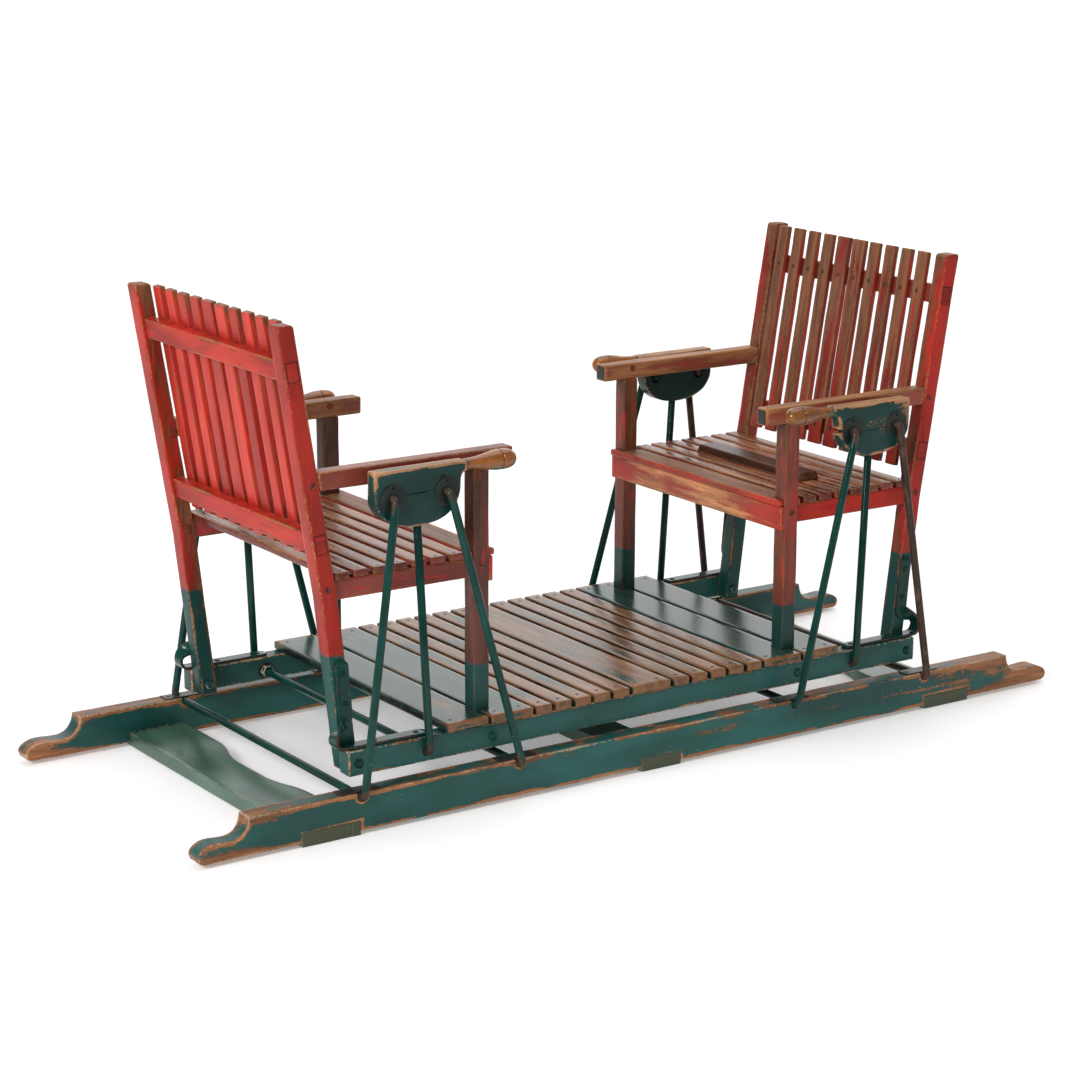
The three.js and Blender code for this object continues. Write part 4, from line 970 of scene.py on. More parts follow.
def deck_finish(name, green, bare_wood):
    """Deck slats: green paint trodden through to glossy brown in long streaks, each slat in its own tone.

    Where the bare share is far below zero, on the slats' sides, the paint is darkened almost to black, as
    painted shade in the gaps between the slats.
    """
    recipe = Recipe(name)
    wood, relief = timber(recipe, (0.180, 0.086, 0.036, 1), 1.6, 0.5)
    streak = recipe.noise((4, 80, 80), 4.0, 0.65)
    blotch = recipe.noise((5, 14, 14), 3.0, 0.6)
    chips = recipe.noise((120, 300, 300), 3.0, 0.7)
    edge = recipe.share("edge")
    bare = recipe.share("bare")
    faded = (streak * 2 + blotch + 0.5).between(0.1, 0.9)
    coat = recipe.mix(faded, scaled(green, 0.5), (0.05, 0.085, 0.065, 1))
    worn = recipe.share("tone") * 0.6 + streak * 0.7 + blotch * 0.9 + chips * 0.3 + edge * 0.25 + bare
    gone = worn.between(0.30, 0.56)
    colour = recipe.mix(gone, coat, wood)
    warm = recipe.noise((3, 8, 8), 2.0, 0.5).between(0.02, 0.16) * gone
    colour = recipe.mix(warm * 0.7, colour, (0.24, 0.095, 0.035, 1))
    rubbed = (edge * 0.5 + chips * 0.9 + blotch * 1.1 + bare * 0.3).between(0.56, 0.68)
    colour = recipe.mix(rubbed * 0.85, colour, scaled(bare_wood, 0.9))
    # Grime from noise, and painted shade: near black on the slats' sides in the gaps, where the bare share is
    # far below zero
    grime = (recipe.noise((18, 70, 70), 3.0, 0.65) * 1.6 - bare * 0.7 + 0.05).between(0.2, 0.55)
    colour = aged(recipe, recipe.mix(grime * 0.92, colour, (0.010, 0.008, 0.006, 1)), 0.4)
    rough = 0.20 + gone * 0.04 + chips * 0.10 + rubbed * 0.2
    height = relief * 0.3 - gone * 0.2 + chips * 0.1
    return recipe.surface(colour, rough, height, 0.0005, specular_ior_level=0.3)


# Colours that several finishes share
# The gold of rubbed edges, which also stands in for a painted highlight along them
GOLD_EDGE_WEAR_AND_HIGHLIGHT = (0.42, 0.17, 0.055, 1)
SPATTER = (0.44, 0.020, 0.022, 1)
BRICK = (0.26, 0.052, 0.034, 1)


def finishes(colours):
    """Every finish by name, made once: for paint its colour, the wood's colour and what it changes."""
    names = ("green", "board_green", "red", "stain", "bare", "varnish", "iron")
    green, board, red, stain, bare, varnish, iron = (tuple(getattr(colours, name)) for name in names)
    low_green = scaled(green, 0.7)
    flaked = {"edge_wear": 0.62, "streaks": 0.3, "flakes": 0.6}
    rubbed = {"soft": 0.13, "pale": 0.75, "worn_arris_highlight": GOLD_EDGE_WEAR_AND_HIGHLIGHT, "edge_wear": 0.18, "streaks": 0.8, "flakes": 0.35,
              "splash": SPATTER, "specks": 0.25}
    plain = {**rubbed, "splash": None}
    painted = {
        "base_green": (green, bare, {**flaked, "level": -0.14, "pale": 0.5, "band": (0.008, 0.083)}),
        "board_green": (board, scaled(bare, 0.6), {
            "level": -0.16, "edge_wear": 0.2, "flakes": 0.1, "streaks": 0.1, "soft": 0.08, "gloss": 0.26,
            "sheen": 0.5, "pale": 0.2, "third": (0.034, 0.096, 0.078, 1), "ends": (0.040, 0.052, 0.020, 1)}),
        "lever_green": (scaled(green, 0.5), (0.36, 0.175, 0.080, 1), {
            **flaked, "level": -0.13, "pale": 0.3, "specks": 0.3}),
        "rail_green": (scaled(green, 0.95), bare, {
            "level": -0.18, "edge_wear": 0.6, "streaks": 0.3, "specks": 0.4}),
        "post_red": (scaled(red, 0.86), stain, {
            **rubbed, "level": 0.24, "sheen": 0.18, "second": low_green, "split": 0.334}),
        # The left seat's front posts are a darker copy of the right ones' finish: painted shade, as the seat
        # stands between them and the light on the left
        "front_post_left": ((0.135, 0.044, 0.030, 1), scaled(stain, 0.5), {
            **rubbed, "level": 0.26, "pale": 0.2, "second": low_green, "split": 0.266}),
        "front_post_right": (BRICK, scaled(stain, 0.9), {
            **rubbed, "level": 0.26, "pale": 0.25, "second": low_green, "split": 0.266}),
        # Its ends colour is the dark brown of the back slats' sides: partly their wood, partly painted shade
        # between the slats
        "panel_red": (scaled(red, 1.12), scaled(stain, 1.15), {
            **rubbed, "level": 0.20, "sheen": 0.2, "pale": 0.2, "ends": (0.045, 0.016, 0.009, 1)}),
        "rail_red": (scaled(red, 1.02), stain, {**rubbed, "level": 0.19, "sheen": 0.11}),
        # Its ends colour is the dark brown of the back slats' sides: partly their wood, partly painted shade
        # between the slats
        "slat_brown": (scaled(red, 0.85), scaled(stain, 1.2), {
            **plain, "level": 0.29, "pale": 0.35, "ends": (0.030, 0.014, 0.008, 1)}),
        "panel_dark": (scaled(BRICK, 0.7), scaled(stain, 0.8), {**plain, "level": 0.24}),
        "seat_rail_red": (BRICK, scaled(stain, 1.3), {**rubbed, "level": 0.14}),
        "arm_brown": (scaled(BRICK, 0.95), (0.30, 0.128, 0.052, 1), {**plain, "level": 0.42}),
        "arm_red": (scaled(BRICK, 1.1), (0.26, 0.108, 0.044, 1), {**plain, "level": 0.22}),
        "nose_red": (red, (0.21, 0.088, 0.040, 1), {**plain, "level": 0.28, "pale": 0.4}),
        "seat_brown": (scaled(BRICK, 0.65), (0.25, 0.102, 0.042, 1), {
            **plain, "level": 0.36, "gloss": 0.2, "sheen": 0.3, "pale": 0.4}),
        "apron_red": (red, (0.54, 0.235, 0.100, 1), {**plain, "level": 0.15, "soft": 0.24}),
        "spare_brown": (scaled(stain, 0.35), scaled(stain, 0.5), {**plain, "level": 0.1, "pale": 0.2}),
    }
    made = {name: worn_paint(name, paint, wood, **changes)
            for name, (paint, wood, changes) in painted.items()}
    made["deck"] = deck_finish("deck", green, bare)
    made["handle"] = varnished("handle", varnish, green)
    iron_kinds = {
        "green_rod": ((0.004, 0.040, 0.032, 1), scaled(iron, 0.8), 0.0, 0.13),
        "bare_rod": (scaled(iron, 0.7), iron, 0.3, 0.34),
        "dark_iron": ((0.016, 0.024, 0.020, 1), scaled(iron, 0.6), 0.16, 0.3),
        "red_head": (scaled(BRICK, 0.7), scaled(iron, 0.7), -0.1, 0.4),
        "worn_nut": (scaled(green, 0.7), (0.30, 0.24, 0.17, 1), 0.02, 0.4),
    }
    made.update({name: iron_finish(name, *values) for name, values in iron_kinds.items()})
    # Near black slabs: the tenon joints, and painted shade in place of the hollows of the blocks' cracks and
    # old hole
    made["shadow"] = Recipe("shadow").surface(SOOT_AND_SHADE_BLACK, 0.9)
    return made


# The finishes by name, filled by main
FINISH = {}


# Base frame

def tail_points(sign, shoulder, tail, bottom, height):
    """The scroll from the rail's top corner to its toe: three cubic curves through shares of both lengths."""
    shares = np.concatenate([*(bezier(run, 9) for run in TAIL_SHARES), np.array(TAIL_TOE_SHARES)])
    return np.stack([sign * (shoulder + shares[:, 0] * tail), bottom + shares[:, 1] * height], 1)


def groove(x, top):
    """An open slot with a round bottom in the rail's upper edge, read from right to left."""
    radius = ROD_RADIUS + PLAY
    t = np.linspace(0, -np.pi, 9)
    arc = np.stack([x + radius * np.cos(t), BASE_PIVOT_Z + radius * np.sin(t)], 1)
    return np.concatenate([[[x + radius, top]], arc, [[x - radius, top]]])


def base_rail_outline(low, high):
    """Bottom with three notches, right scroll, top with four grooves, left scroll, counterclockwise."""
    bottom, top = low[2], high[2]
    height = top - bottom
    spans = [(-BOARD_OUTER, -BOARD_INNER), (-CENTRE_BOARD_HALF, CENTRE_BOARD_HALF),
             (BOARD_INNER, BOARD_OUTER)]
    notches = [[[x0 - PLAY, bottom], [x0 - PLAY, BOARD_THICK], [x1 + PLAY, BOARD_THICK], [x1 + PLAY, bottom]]
               for x0, x1 in spans]
    shoulder = high[0] - BASE_TAIL
    right = tail_points(1, shoulder, BASE_TAIL, bottom, height)[::-1]
    left = tail_points(-1, shoulder, -low[0] - shoulder, bottom, height)
    pivots = sorted([sign * x for x in BASE_PIVOTS.values() for sign in (1, -1)], reverse=True)
    grooves = [groove(x, top) for x in pivots]
    return np.concatenate([*map(np.array, notches), right, *grooves, left])


def tail_wear(world):
    """More bare wood on the tails, most of all on the right, by the rods' feet and along the lower edge."""
    x, z = np.abs(world[:, 0]), world[:, 2]
    along = ramp(x, 0.90, 0.12)
    right = ramp(world[:, 0], 0.66, 0.20) * np.clip((0.1 - world[:, 1]) * 9, 0, 1)
    low = ramp(z, 0.026, -0.016)
    near = np.min([np.abs(x - pivot) for pivot in BASE_PIVOTS.values()], axis=0)
    foot = np.clip(1 - near / 0.09, 0, 1) * ramp(z, 0.03, 0.04)
    left = (world[:, 0] < 0) * ramp(x, 0.80, 0.08)
    high = ramp(z, 0.050, 0.025)
    return 0.44 * along + 0.42 * right + 0.10 * low + 0.22 * foot + left * (0.05 + 0.20 * high)


class GLIDER_OT_base_rails(bpy.types.Operator):
    """Two base rails with scrolled tails, board notches and bail grooves"""

    bl_idname = "glider.base_rails"
    bl_label = "Base rails"

    def execute(self, context):
        sizes = context.scene.glider_sizes
        for row, sign in ROWS:
            node = f"base_rail_{row}"
            low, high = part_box(node)
            body = slab(base_rail_outline(low, high), low[1], high[1], sizes.edge_ease, sizes.wear_reach,
                        uneven=0.45, seed=sign)
            piece = Piece(f"rail_{row}")
            piece.add(body, SIDE, seed=3 + sign, bare=tail_wear)
            piece.finish("base", "green_painted_wood", "base_green", node)
        return {"FINISHED"}


def waisted_board():
    """An end board in plan: straight outside, drawn in by two cubic S curves to a waist on its inner edge."""
    _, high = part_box("cross_board_right")
    half = high[1]
    waist = BOARD_INNER + WAIST_CUT
    middle = WAIST_HALF + WAIST_RUN / 2
    end = WAIST_HALF + WAIST_RUN
    upper = bezier([[BOARD_INNER, end], [BOARD_INNER, middle], [waist, middle], [waist, WAIST_HALF]], 16)
    lower = upper[::-1] * [1, -1]
    outer = [[BOARD_OUTER, -half], [BOARD_OUTER, half], [BOARD_INNER, half]]
    straight = [[waist, WAIST_HALF], [waist, -WAIST_HALF]]
    return np.concatenate([outer, upper, straight, lower, [[BOARD_INNER, -half]]])


def board_ends(world):
    """The sawn ends under the rails' outer faces are dark olive."""
    return np.where(np.abs(world[:, 1]) > np.abs(world[:, 1]).max() - 0.0004, -0.9, 0.0)


class GLIDER_OT_cross_boards(bpy.types.Operator):
    """Three cross boards under the rails, two of them waisted, and a small filler block"""

    bl_idname = "glider.cross_boards"
    bl_label = "Cross boards"

    def execute(self, context):
        sizes = context.scene.glider_sizes
        ease, reach = sizes.edge_ease, sizes.wear_reach
        for side, sign in SIDES:
            outline = waisted_board()
            if side == "left":
                low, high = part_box("cross_board_filler")
                edge, rear = -low[0] + PLAY, high[1] + PLAY
                notch = [[BOARD_INNER, rear], [edge, rear], [edge, outline[0, 1]]]
                outline = np.concatenate([outline[:-1], notch])
            piece = Piece(f"board_{side}")
            piece.add(slab(outline, 0, BOARD_THICK, ease, reach, along=1, uneven=0.3, seed=sign), PLAN,
                      signs=(sign, 1, 1), seed=11 + sign, bare=board_ends)
            piece.finish("base", "board_wood", "board_green", f"cross_board_{side}")
        for name in ("centre", "filler"):
            node = f"cross_board_{name}"
            low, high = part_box(node)
            piece = Piece(f"board_{name}")
            piece.add(slab(footprint(low, high), low[2], high[2], min(ease, BOARD_EASE), reach, along=1),
                      PLAN, seed=17 + len(name), bare=board_ends)
            piece.finish("base", "board_wood", "board_green", node)
        return {"FINISHED"}


class GLIDER_OT_keepers(bpy.types.Operator):
    """Eight iron plates over the bails where they cross the rails, each with two screws"""

    bl_idname = "glider.keepers"
    bl_label = "Keeper plates"

    def execute(self, context):
        sizes = context.scene.glider_sizes
        for row, side, _, _ in CORNERS:
            for end in BASE_PIVOTS:
                node = f"keeper_{row}_{side}_{end}"
                low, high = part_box(node)
                x, y = (low[0] + high[0]) / 2, (low[1] + high[1]) / 2
                piece = Piece(f"plate_{row}_{side}_{end}")
                piece.add(slab(footprint(low, high), low[2], high[2], *PLATE_EDGE), PLAN, seed=low[0] * 9)
                for shift in (-KEEPER_SCREW_X, KEEPER_SCREW_X):
                    screw = head(sizes.screw_radius, *KEEPER_SCREW)
                    piece.add(screw, PLAN, (x + shift, y, high[2]), seed=shift)
                piece.finish("base", "worn_iron", "dark_iron", node)
        return {"FINISHED"}


# Rods, washers and levers

def bent_rod(near, sides):
    """A rod bent in one plane, through the corners of its near half and their mirror images."""
    near = np.array(near, float)
    corners = np.concatenate([near, near[::-1] * [1, -1, 1]])
    path, bends = bent_line(corners, ROD_BEND, 8)
    leg = corners[len(near)] - corners[len(near) + 1]
    return tube(path, bends, unit(np.cross([0.0, 1.0, 0.0], leg)), ROD_RADIUS, sides)


def bend_wear(world):
    """Bare iron where the rods leave the washers and rub."""
    return 0.08 * ramp(world[:, 2], 0.59, 0.05)


class GLIDER_OT_bails(bpy.types.Operator):
    """Four rod bails on the base rails and two hangers that carry the platform"""

    bl_idname = "glider.bails"
    bl_label = "Rod bails"

    def execute(self, context):
        sides = context.scene.glider_sizes.rod_sides
        for side, sign in SIDES:
            signs = (sign, 1, 1)
            for end in BASE_PIVOTS:
                node = f"bail_{side}_{end}"
                _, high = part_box(node)
                washer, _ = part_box(f"washer_far_{side}_{end}")
                top, foot = TOP_PIVOTS[end], BASE_PIVOTS[end]
                near = [[top, -ROD_STUB_Y, TOP_PIVOT_Z], [top, -washer[1] - LEG_FROM_WASHER, TOP_PIVOT_Z],
                        [foot, ROD_RADIUS - high[1], BASE_PIVOT_Z]]
                finish = "bare_rod" if (side, end) == ("right", "outer") else "green_rod"
                slot = "worn_iron" if finish == "bare_rod" else "green_painted_iron"
                piece = Piece(f"rod_{side}_{end}")
                piece.add(bent_rod(near, sides), signs=signs, seed=sign + foot, bare=bend_wear)
                piece.finish(f"{side}_{end}_bail", slot, finish, node)
            node = f"hanger_{side}"
            _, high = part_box(node)
            near = [[LEVER_CENTRE_X, -BLOCK_MIDDLE_Y, HANGER_TOP_Z],
                    [HANGER_X, ROD_RADIUS - high[1], HANGER_Z]]
            piece = Piece(f"hanger_rod_{side}")
            piece.add(bent_rod(near, sides), signs=signs, seed=5 + sign, bare=0.10)
            piece.finish(f"{side}_levers", "green_painted_iron", "green_rod", node)
        return {"FINISHED"}


def round_box(node):
    """A disc's middle in X and Z, its radius, and its lower and higher face in Y."""
    low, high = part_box(node)
    return (low[0] + high[0]) / 2, (low[2] + high[2]) / 2, (high[2] - low[2]) / 2, low[1], high[1]


class GLIDER_OT_washers(bpy.types.Operator):
    """Loose iron washers at the lever blocks and collars inside the platform rails"""

    bl_idname = "glider.washers"
    bl_label = "Washers and collars"

    def execute(self, context):
        for row, side, _, _ in CORNERS:
            for end in TOP_PIVOTS:
                node = f"washer_{row}_{side}_{end}"
                x, z, radius, y0, y1 = round_box(node)
                holes = [circle(x, z, ROD_RADIUS + PLAY, 24),
                         circle(x, z + radius - WASHER_HOLE_IN, WASHER_HOLE, 10)]
                piece = Piece(f"ring_{row}_{side}_{end}")
                piece.add(slab(circle(x, z, radius, 40), y0, y1, *WASHER_EDGE, holes), SIDE, seed=x * 7)
                piece.finish(f"{side}_{end}_bail", "worn_iron", "dark_iron", node)
            node = f"collar_{row}_{side}"
            x, z, radius, y0, y1 = round_box(node)
            hole = [circle(x, z, ROD_RADIUS + PLAY, 24)]
            piece = Piece(f"collar_ring_{row}_{side}")
            piece.add(slab(circle(x, z, radius, 32), y0, y1, *COLLAR_EDGE, hole), SIDE)
            piece.finish("platform", "worn_iron", "dark_iron", node)
            inner = min(abs(y0), abs(y1))
            span = sorted(math.copysign(inner - depth, y0) for depth in HANGER_NUT_SPAN)
            hole = [circle(x, z, ROD_RADIUS + PLAY / 2, 24)]
            piece = Piece(f"hanger_nut_{row}_{side}")
            piece.add(slab(circle(x, z, HANGER_NUT, 6), *span, *HANGER_NUT_EDGE, hole), SIDE, seed=x * 5)
            piece.finish(f"{side}_levers", "worn_iron", "worn_nut")
        return {"FINISHED"}


def lever_outline(split):
    """A deep half oval of cubic curves under a flat top, with a short shoulder towards the handle.

    A split block opens in a wedge at its inner side, from 5 mm above the pivots' height to 7 mm below it.
    """
    top, centre = LEVER_TOP, LEVER_CENTRE_X
    bottom = top - LEVER_DEPTH
    outer, inner, shoulder = centre + LEVER_OUTER, centre - LEVER_INNER, centre - LEVER_SHOULDER
    step = top - LEVER_STEP
    under = step - 0.022
    flank = bottom + (TOP_PIVOT_Z - bottom) * FLANK_SHARE
    fillet = bezier([[shoulder, step], [inner - 0.0047, step], [inner, step - 0.0073], [inner, under]], 6)
    left = bezier([[inner, under], [inner, flank], [centre - LEVER_INNER * BELLY_SHARE, bottom],
                   [centre, bottom]], 18)
    right = bezier([[centre, bottom], [centre + LEVER_OUTER * BELLY_SHARE, bottom], [outer, flank],
                    [outer, TOP_PIVOT_Z]], 18)
    ends = np.array([[outer, TOP_PIVOT_Z], [outer, top], [shoulder, top]])
    if split:
        wedge = np.array([[inner, TOP_PIVOT_Z + 0.005], [inner + 0.021, TOP_PIVOT_Z - 0.001],
                          [inner + 0.0005, TOP_PIVOT_Z - 0.007]])
        above = left[left[:, 1] > wedge[0, 1] + 0.002]
        below = left[left[:, 1] < wedge[2, 1] - 0.002]
        left = np.concatenate([above, wedge, below])
    return np.concatenate([fillet, left, right, ends])


def block_wear(world):
    """The block's top is rubbed bare, and its upper corners too, most of all on the near right lever."""
    x, z = world[:, 0], world[:, 2]
    top = 0.5 * ramp(z, 0.684, 0.005)
    outer = ramp(x, 0.585, 0.03) * ramp(z, 0.61, 0.04)
    return top + np.where(world[:, 1] < 0, 0.16 * (x > 0) + 0.26 * outer, 0.0)


def crack(points, width):
    """A dark hairline of a given width along points in X and Z, widest in the middle of its length."""
    p = np.asarray(points, float)
    share = np.linspace(0, 1, len(p))[:, None]
    side = unit(np.gradient(p, axis=0)[:, ::-1] * [-1, 1])
    half = width * (0.35 + 0.65 * np.sin(np.pi * share)) / 2
    return np.concatenate([p - side * half, (p + side * half)[::-1]])


def handle_shape():
    """The handle turned on its axis, through the shares of its profile. Its groove takes the edge share."""
    length = LEVER_CENTRE_X - LEVER_SHOULDER - HANDLE_TIP_X
    shares = smooth_through(HANDLE_SHARES, 5)
    shape = turned(np.stack([shares[:, 0] * length, np.maximum(shares[:, 1], 0) * HANDLE_RADIUS], 1), 32)
    along = shape.points[:, 2] / length
    shape.edge = np.exp(-((along - HANDLE_GROOVE) / 0.012) ** 2) + 0.5 * np.exp(-(along / 0.05) ** 2)
    return shape


def green_below(world):
    """Green paint left along a handle's underside and at its neck."""
    low = ramp(world[:, 2], HANDLE_Z - 0.004, -0.012)
    neck = ramp(np.abs(world[:, 0]), 0.435, 0.012)
    return 0.24 * low + 0.16 * neck - 0.03


class GLIDER_OT_levers(bpy.types.Operator):
    """Four lever blocks with their turned handles"""

    bl_idname = "glider.levers"
    bl_label = "Levers"

    def execute(self, context):
        reach = context.scene.glider_sizes.wear_reach
        loose = ROD_RADIUS + BORE_PLAY
        for side, sign in SIDES:
            outer = ROD_RADIUS + PLAY if side == "left" else loose
            signs = (sign, 1, 1)
            holes = [circle(TOP_PIVOTS["outer"], TOP_PIVOT_Z, outer, 28),
                     circle(TOP_PIVOTS["inner"], TOP_PIVOT_Z, loose, 28)]
            for number, (row, sy) in enumerate(ROWS):
                seed = number + 3 * sign
                y0, y1 = sorted(sy * y for y in BLOCK_Y)
                outline = lever_outline((row, side) == ("near", "right"))
                block = slab(outline, y0, y1, BLOCK_EASE, reach, holes, uneven=0.6, seed=number + sign)
                piece = Piece(f"block_{row}_{side}")
                piece.add(block, SIDE, signs=signs, seed=20 + seed, bare=block_wear)
                if (row, side) in CRACKS:
                    line, width = CRACKS[row, side]
                    # The cracks and the old hole are thin dark slabs: painted shade of their hollows
                    marks = [crack(smooth_through(line, 3), width)]
                    if side == "left":
                        marks.append(circle(*OLD_HOLE, 18))
                    gash = Piece(f"crack_{row}_{side}")
                    for mark in marks:
                        gash.add(slab(mark, y0 - 0.0002, y0 + 0.001, *HAIR_EDGE), SIDE, signs=signs)
                    gash.finish(f"{side}_levers", "lever_wood", "shadow")
                piece.finish(f"{side}_levers", "lever_wood", "lever_green", f"lever_{row}_{side}")
                root = (LEVER_CENTRE_X - LEVER_SHOULDER, sy * BLOCK_MIDDLE_Y, HANDLE_Z)
                piece = Piece(f"handle_{row}_{side}")
                piece.add(handle_shape(), FORWARD, root, signs, seed=30 + seed, bare=green_below)
                piece.finish(f"{side}_levers", "lever_wood", "handle")
        return {"FINISHED"}


# Platform

def deck_spans():
    """Spans along X of the deck slats: the middle one, then pairs on the right and the left, outwards."""
    edge = DECK_MIDDLE_HALF
    spans = [(-edge, edge)]
    for width, gap in zip(DECK_WIDTHS, DECK_GAPS):
        spans += [(edge + gap, edge + gap + width), (-(edge + gap + width), -(edge + gap))]
        edge += gap + width
    return spans


def notched_slat(x0, x1, half):
    """A slat in plan, cut back along its edge where it meets a front post."""
    post0, post1 = NOTCH_X
    y0, y1 = NOTCH_Y
    if x0 < post0 < x1 <= post1:
        cut = [[x1, -y1], [post0, -y1], [post0, -y0], [x1, -y0], [x1, y0], [post0, y0], [post0, y1], [x1, y1]]
        return np.array([[x0, -half], [x1, -half], *cut, [x1, half], [x0, half]])
    if post0 <= x0 < post1 < x1:
        cut = [[x0, y1], [post1, y1], [post1, y0], [x0, y0], [x0, -y0], [post1, -y0], [post1, -y1], [x0, -y1]]
        return np.array([[x0, -half], [x1, -half], [x1, half], [x0, half], *cut])
    return rectangle(x0, x1, -half, half)


def deck_wear_and_gap_shade(world):
    """Tops are trodden bare, most at the ends; the long sides keep paint, darkened as painted shade in the
    gaps.
    """
    y = np.abs(world[:, 1])
    # The long sides get -0.7, which the deck finish paints near black: painted shade in the gaps between
    # slats
    side = np.where(y > y.max() - 0.0004, -0.1, -0.7)
    top = np.where(world[:, 2] > DECK_TOP - 0.0030, 0.0, side)
    return top + 0.4 * ramp(y, 0.318, 0.025)


class GLIDER_OT_platform(bpy.types.Operator):
    """The platform's two rails and fifteen deck slats with their screws"""

    bl_idname = "glider.platform"
    bl_label = "Platform"

    def execute(self, context):
        sizes = context.scene.glider_sizes
        ease, reach = sizes.edge_ease, sizes.wear_reach
        low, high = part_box("deck_frame")
        rails = Piece("platform_rails")
        outline = rectangle(low[0], high[0], low[2], RAIL_TOP)
        holes = [circle(x, HANGER_Z, ROD_RADIUS + PLAY, 24) for x in (-HANGER_X, HANGER_X)]
        for _, sign in ROWS:
            span = sorted(sign * y for y in RAIL_Y)
            rails.add(slab(outline, *span, ease, reach, holes, uneven=0.4, seed=sign, step=0.02), SIDE,
                      seed=40 + sign)
        rails.finish("platform", "green_painted_wood", "rail_green", "deck_frame")
        slats = Piece("deck_slats")
        screws = Piece("deck_screws")
        for number, (x0, x1) in enumerate(deck_spans()):
            sign = -1 if x1 < 0 else 1
            wide = x1 - x0 > WIDE_SLAT
            tone = 0.1 + 0.2 * scattered(number) if wide and number else 0.55 + 0.5 * scattered(number)
            outline = notched_slat(*sorted((sign * x0, sign * x1)), high[1])
            shape = slab(outline, RAIL_TOP, DECK_TOP, DECK_EASE, reach, along=1, uneven=0.4, seed=number)
            slats.add(shape, PLAN, signs=(sign, 1, 1), seed=50 + number, tone=tone, bare=deck_wear_and_gap_shade)
            middle = (x0 + x1) / 2
            for x in ((middle - DECK_SCREW_X, middle + DECK_SCREW_X) if wide else (middle,)):
                for y in (-DECK_SCREW_Y, DECK_SCREW_Y):
                    screws.add(head(*DECK_SCREW), PLAN, (x, y, DECK_TOP - SUNK), seed=number)
        slats.finish("platform", "deck_wood", "deck")
        screws.finish("platform", "worn_iron", "dark_iron")
        return {"FINISHED"}


# Seats

def back_edge(z):
    """X of a back post's rear edge at a height: one lean below the bend and a larger one above it."""
    lower = BEND_X + LOWER_LEAN * (z - BEND_Z)
    upper = BEND_X + UPPER_LEAN * (z - BEND_Z)
    return np.where(np.asarray(z) < BEND_Z, lower, upper)


def reclined_axes():
    """Axes of the reclined back: u along Y, v up the post and w forward from its middle to the sitter."""
    up = [math.sin(RECLINE), 0, math.cos(RECLINE)]
    front = [-math.cos(RECLINE), 0, math.sin(RECLINE)]
    return np.column_stack([[0, 1, 0], up, front])


def reclined_origin(z):
    """The middle of the back post's thickness at a height."""
    return (float(back_edge(z)) - POST / 2, 0, z)


def tenon(z, half_height, half_depth, proud, ease):
    """A through tenon's end, or the dark joint round it: a reclined block in the post's outer part."""
    x, _, z0 = reclined_origin(z)
    up = np.array([math.sin(RECLINE), math.cos(RECLINE)])
    out = np.array([math.cos(RECLINE), -math.sin(RECLINE)])
    corners = [(-half_height, -half_depth), (-half_height, half_depth), (half_height, half_depth),
               (half_height, -half_depth)]
    outline = np.array([[x, z0] + a * up + b * out for a, b in corners])
    return slab(outline, POST_INNER_Y + TENON_DEEP, POST_OUTER_Y + proud, ease, TENON_REACH)


def front_post_bare(world):
    """The inner faces are rubbed brown, and the outer face keeps its red, but for its top under the arm."""
    outer = np.where(np.abs(world[:, 1]) > POST_OUTER_Y - 0.002, -0.10, 0.04)
    return outer + 0.2 * ramp(world[:, 2], 0.58, 0.06)


def back_post_bare(world):
    """Outer and rear faces keep their red, and the front face is brown."""
    rear = world[:, 0] * np.sign(world[:, 0]) > back_edge(world[:, 2]) - 0.004
    outer = np.abs(world[:, 1]) > POST_OUTER_Y - 0.004
    return np.where(rear | outer, -0.30, 0.12) + 0.3 * ramp(world[:, 2], 0.945, 0.015)


def back_post_outline():
    """A back post from the side: its bent rear edge, a chamfered top, and the same line in front."""
    levels = np.array(BACK_POST_LEVELS)
    rear = np.stack([back_edge(levels), levels], 1)
    x, z = rear[-1]
    cut, lean = POST_CHAMFER, POST_CHAMFER * 0.16
    chamfer = [[x - lean, z - cut], [x - cut, z], [x - POST + cut, z], [x - POST - lean, z - cut]]
    return np.concatenate([rear[:-1], chamfer, (rear - [POST, 0])[:-1][::-1]])


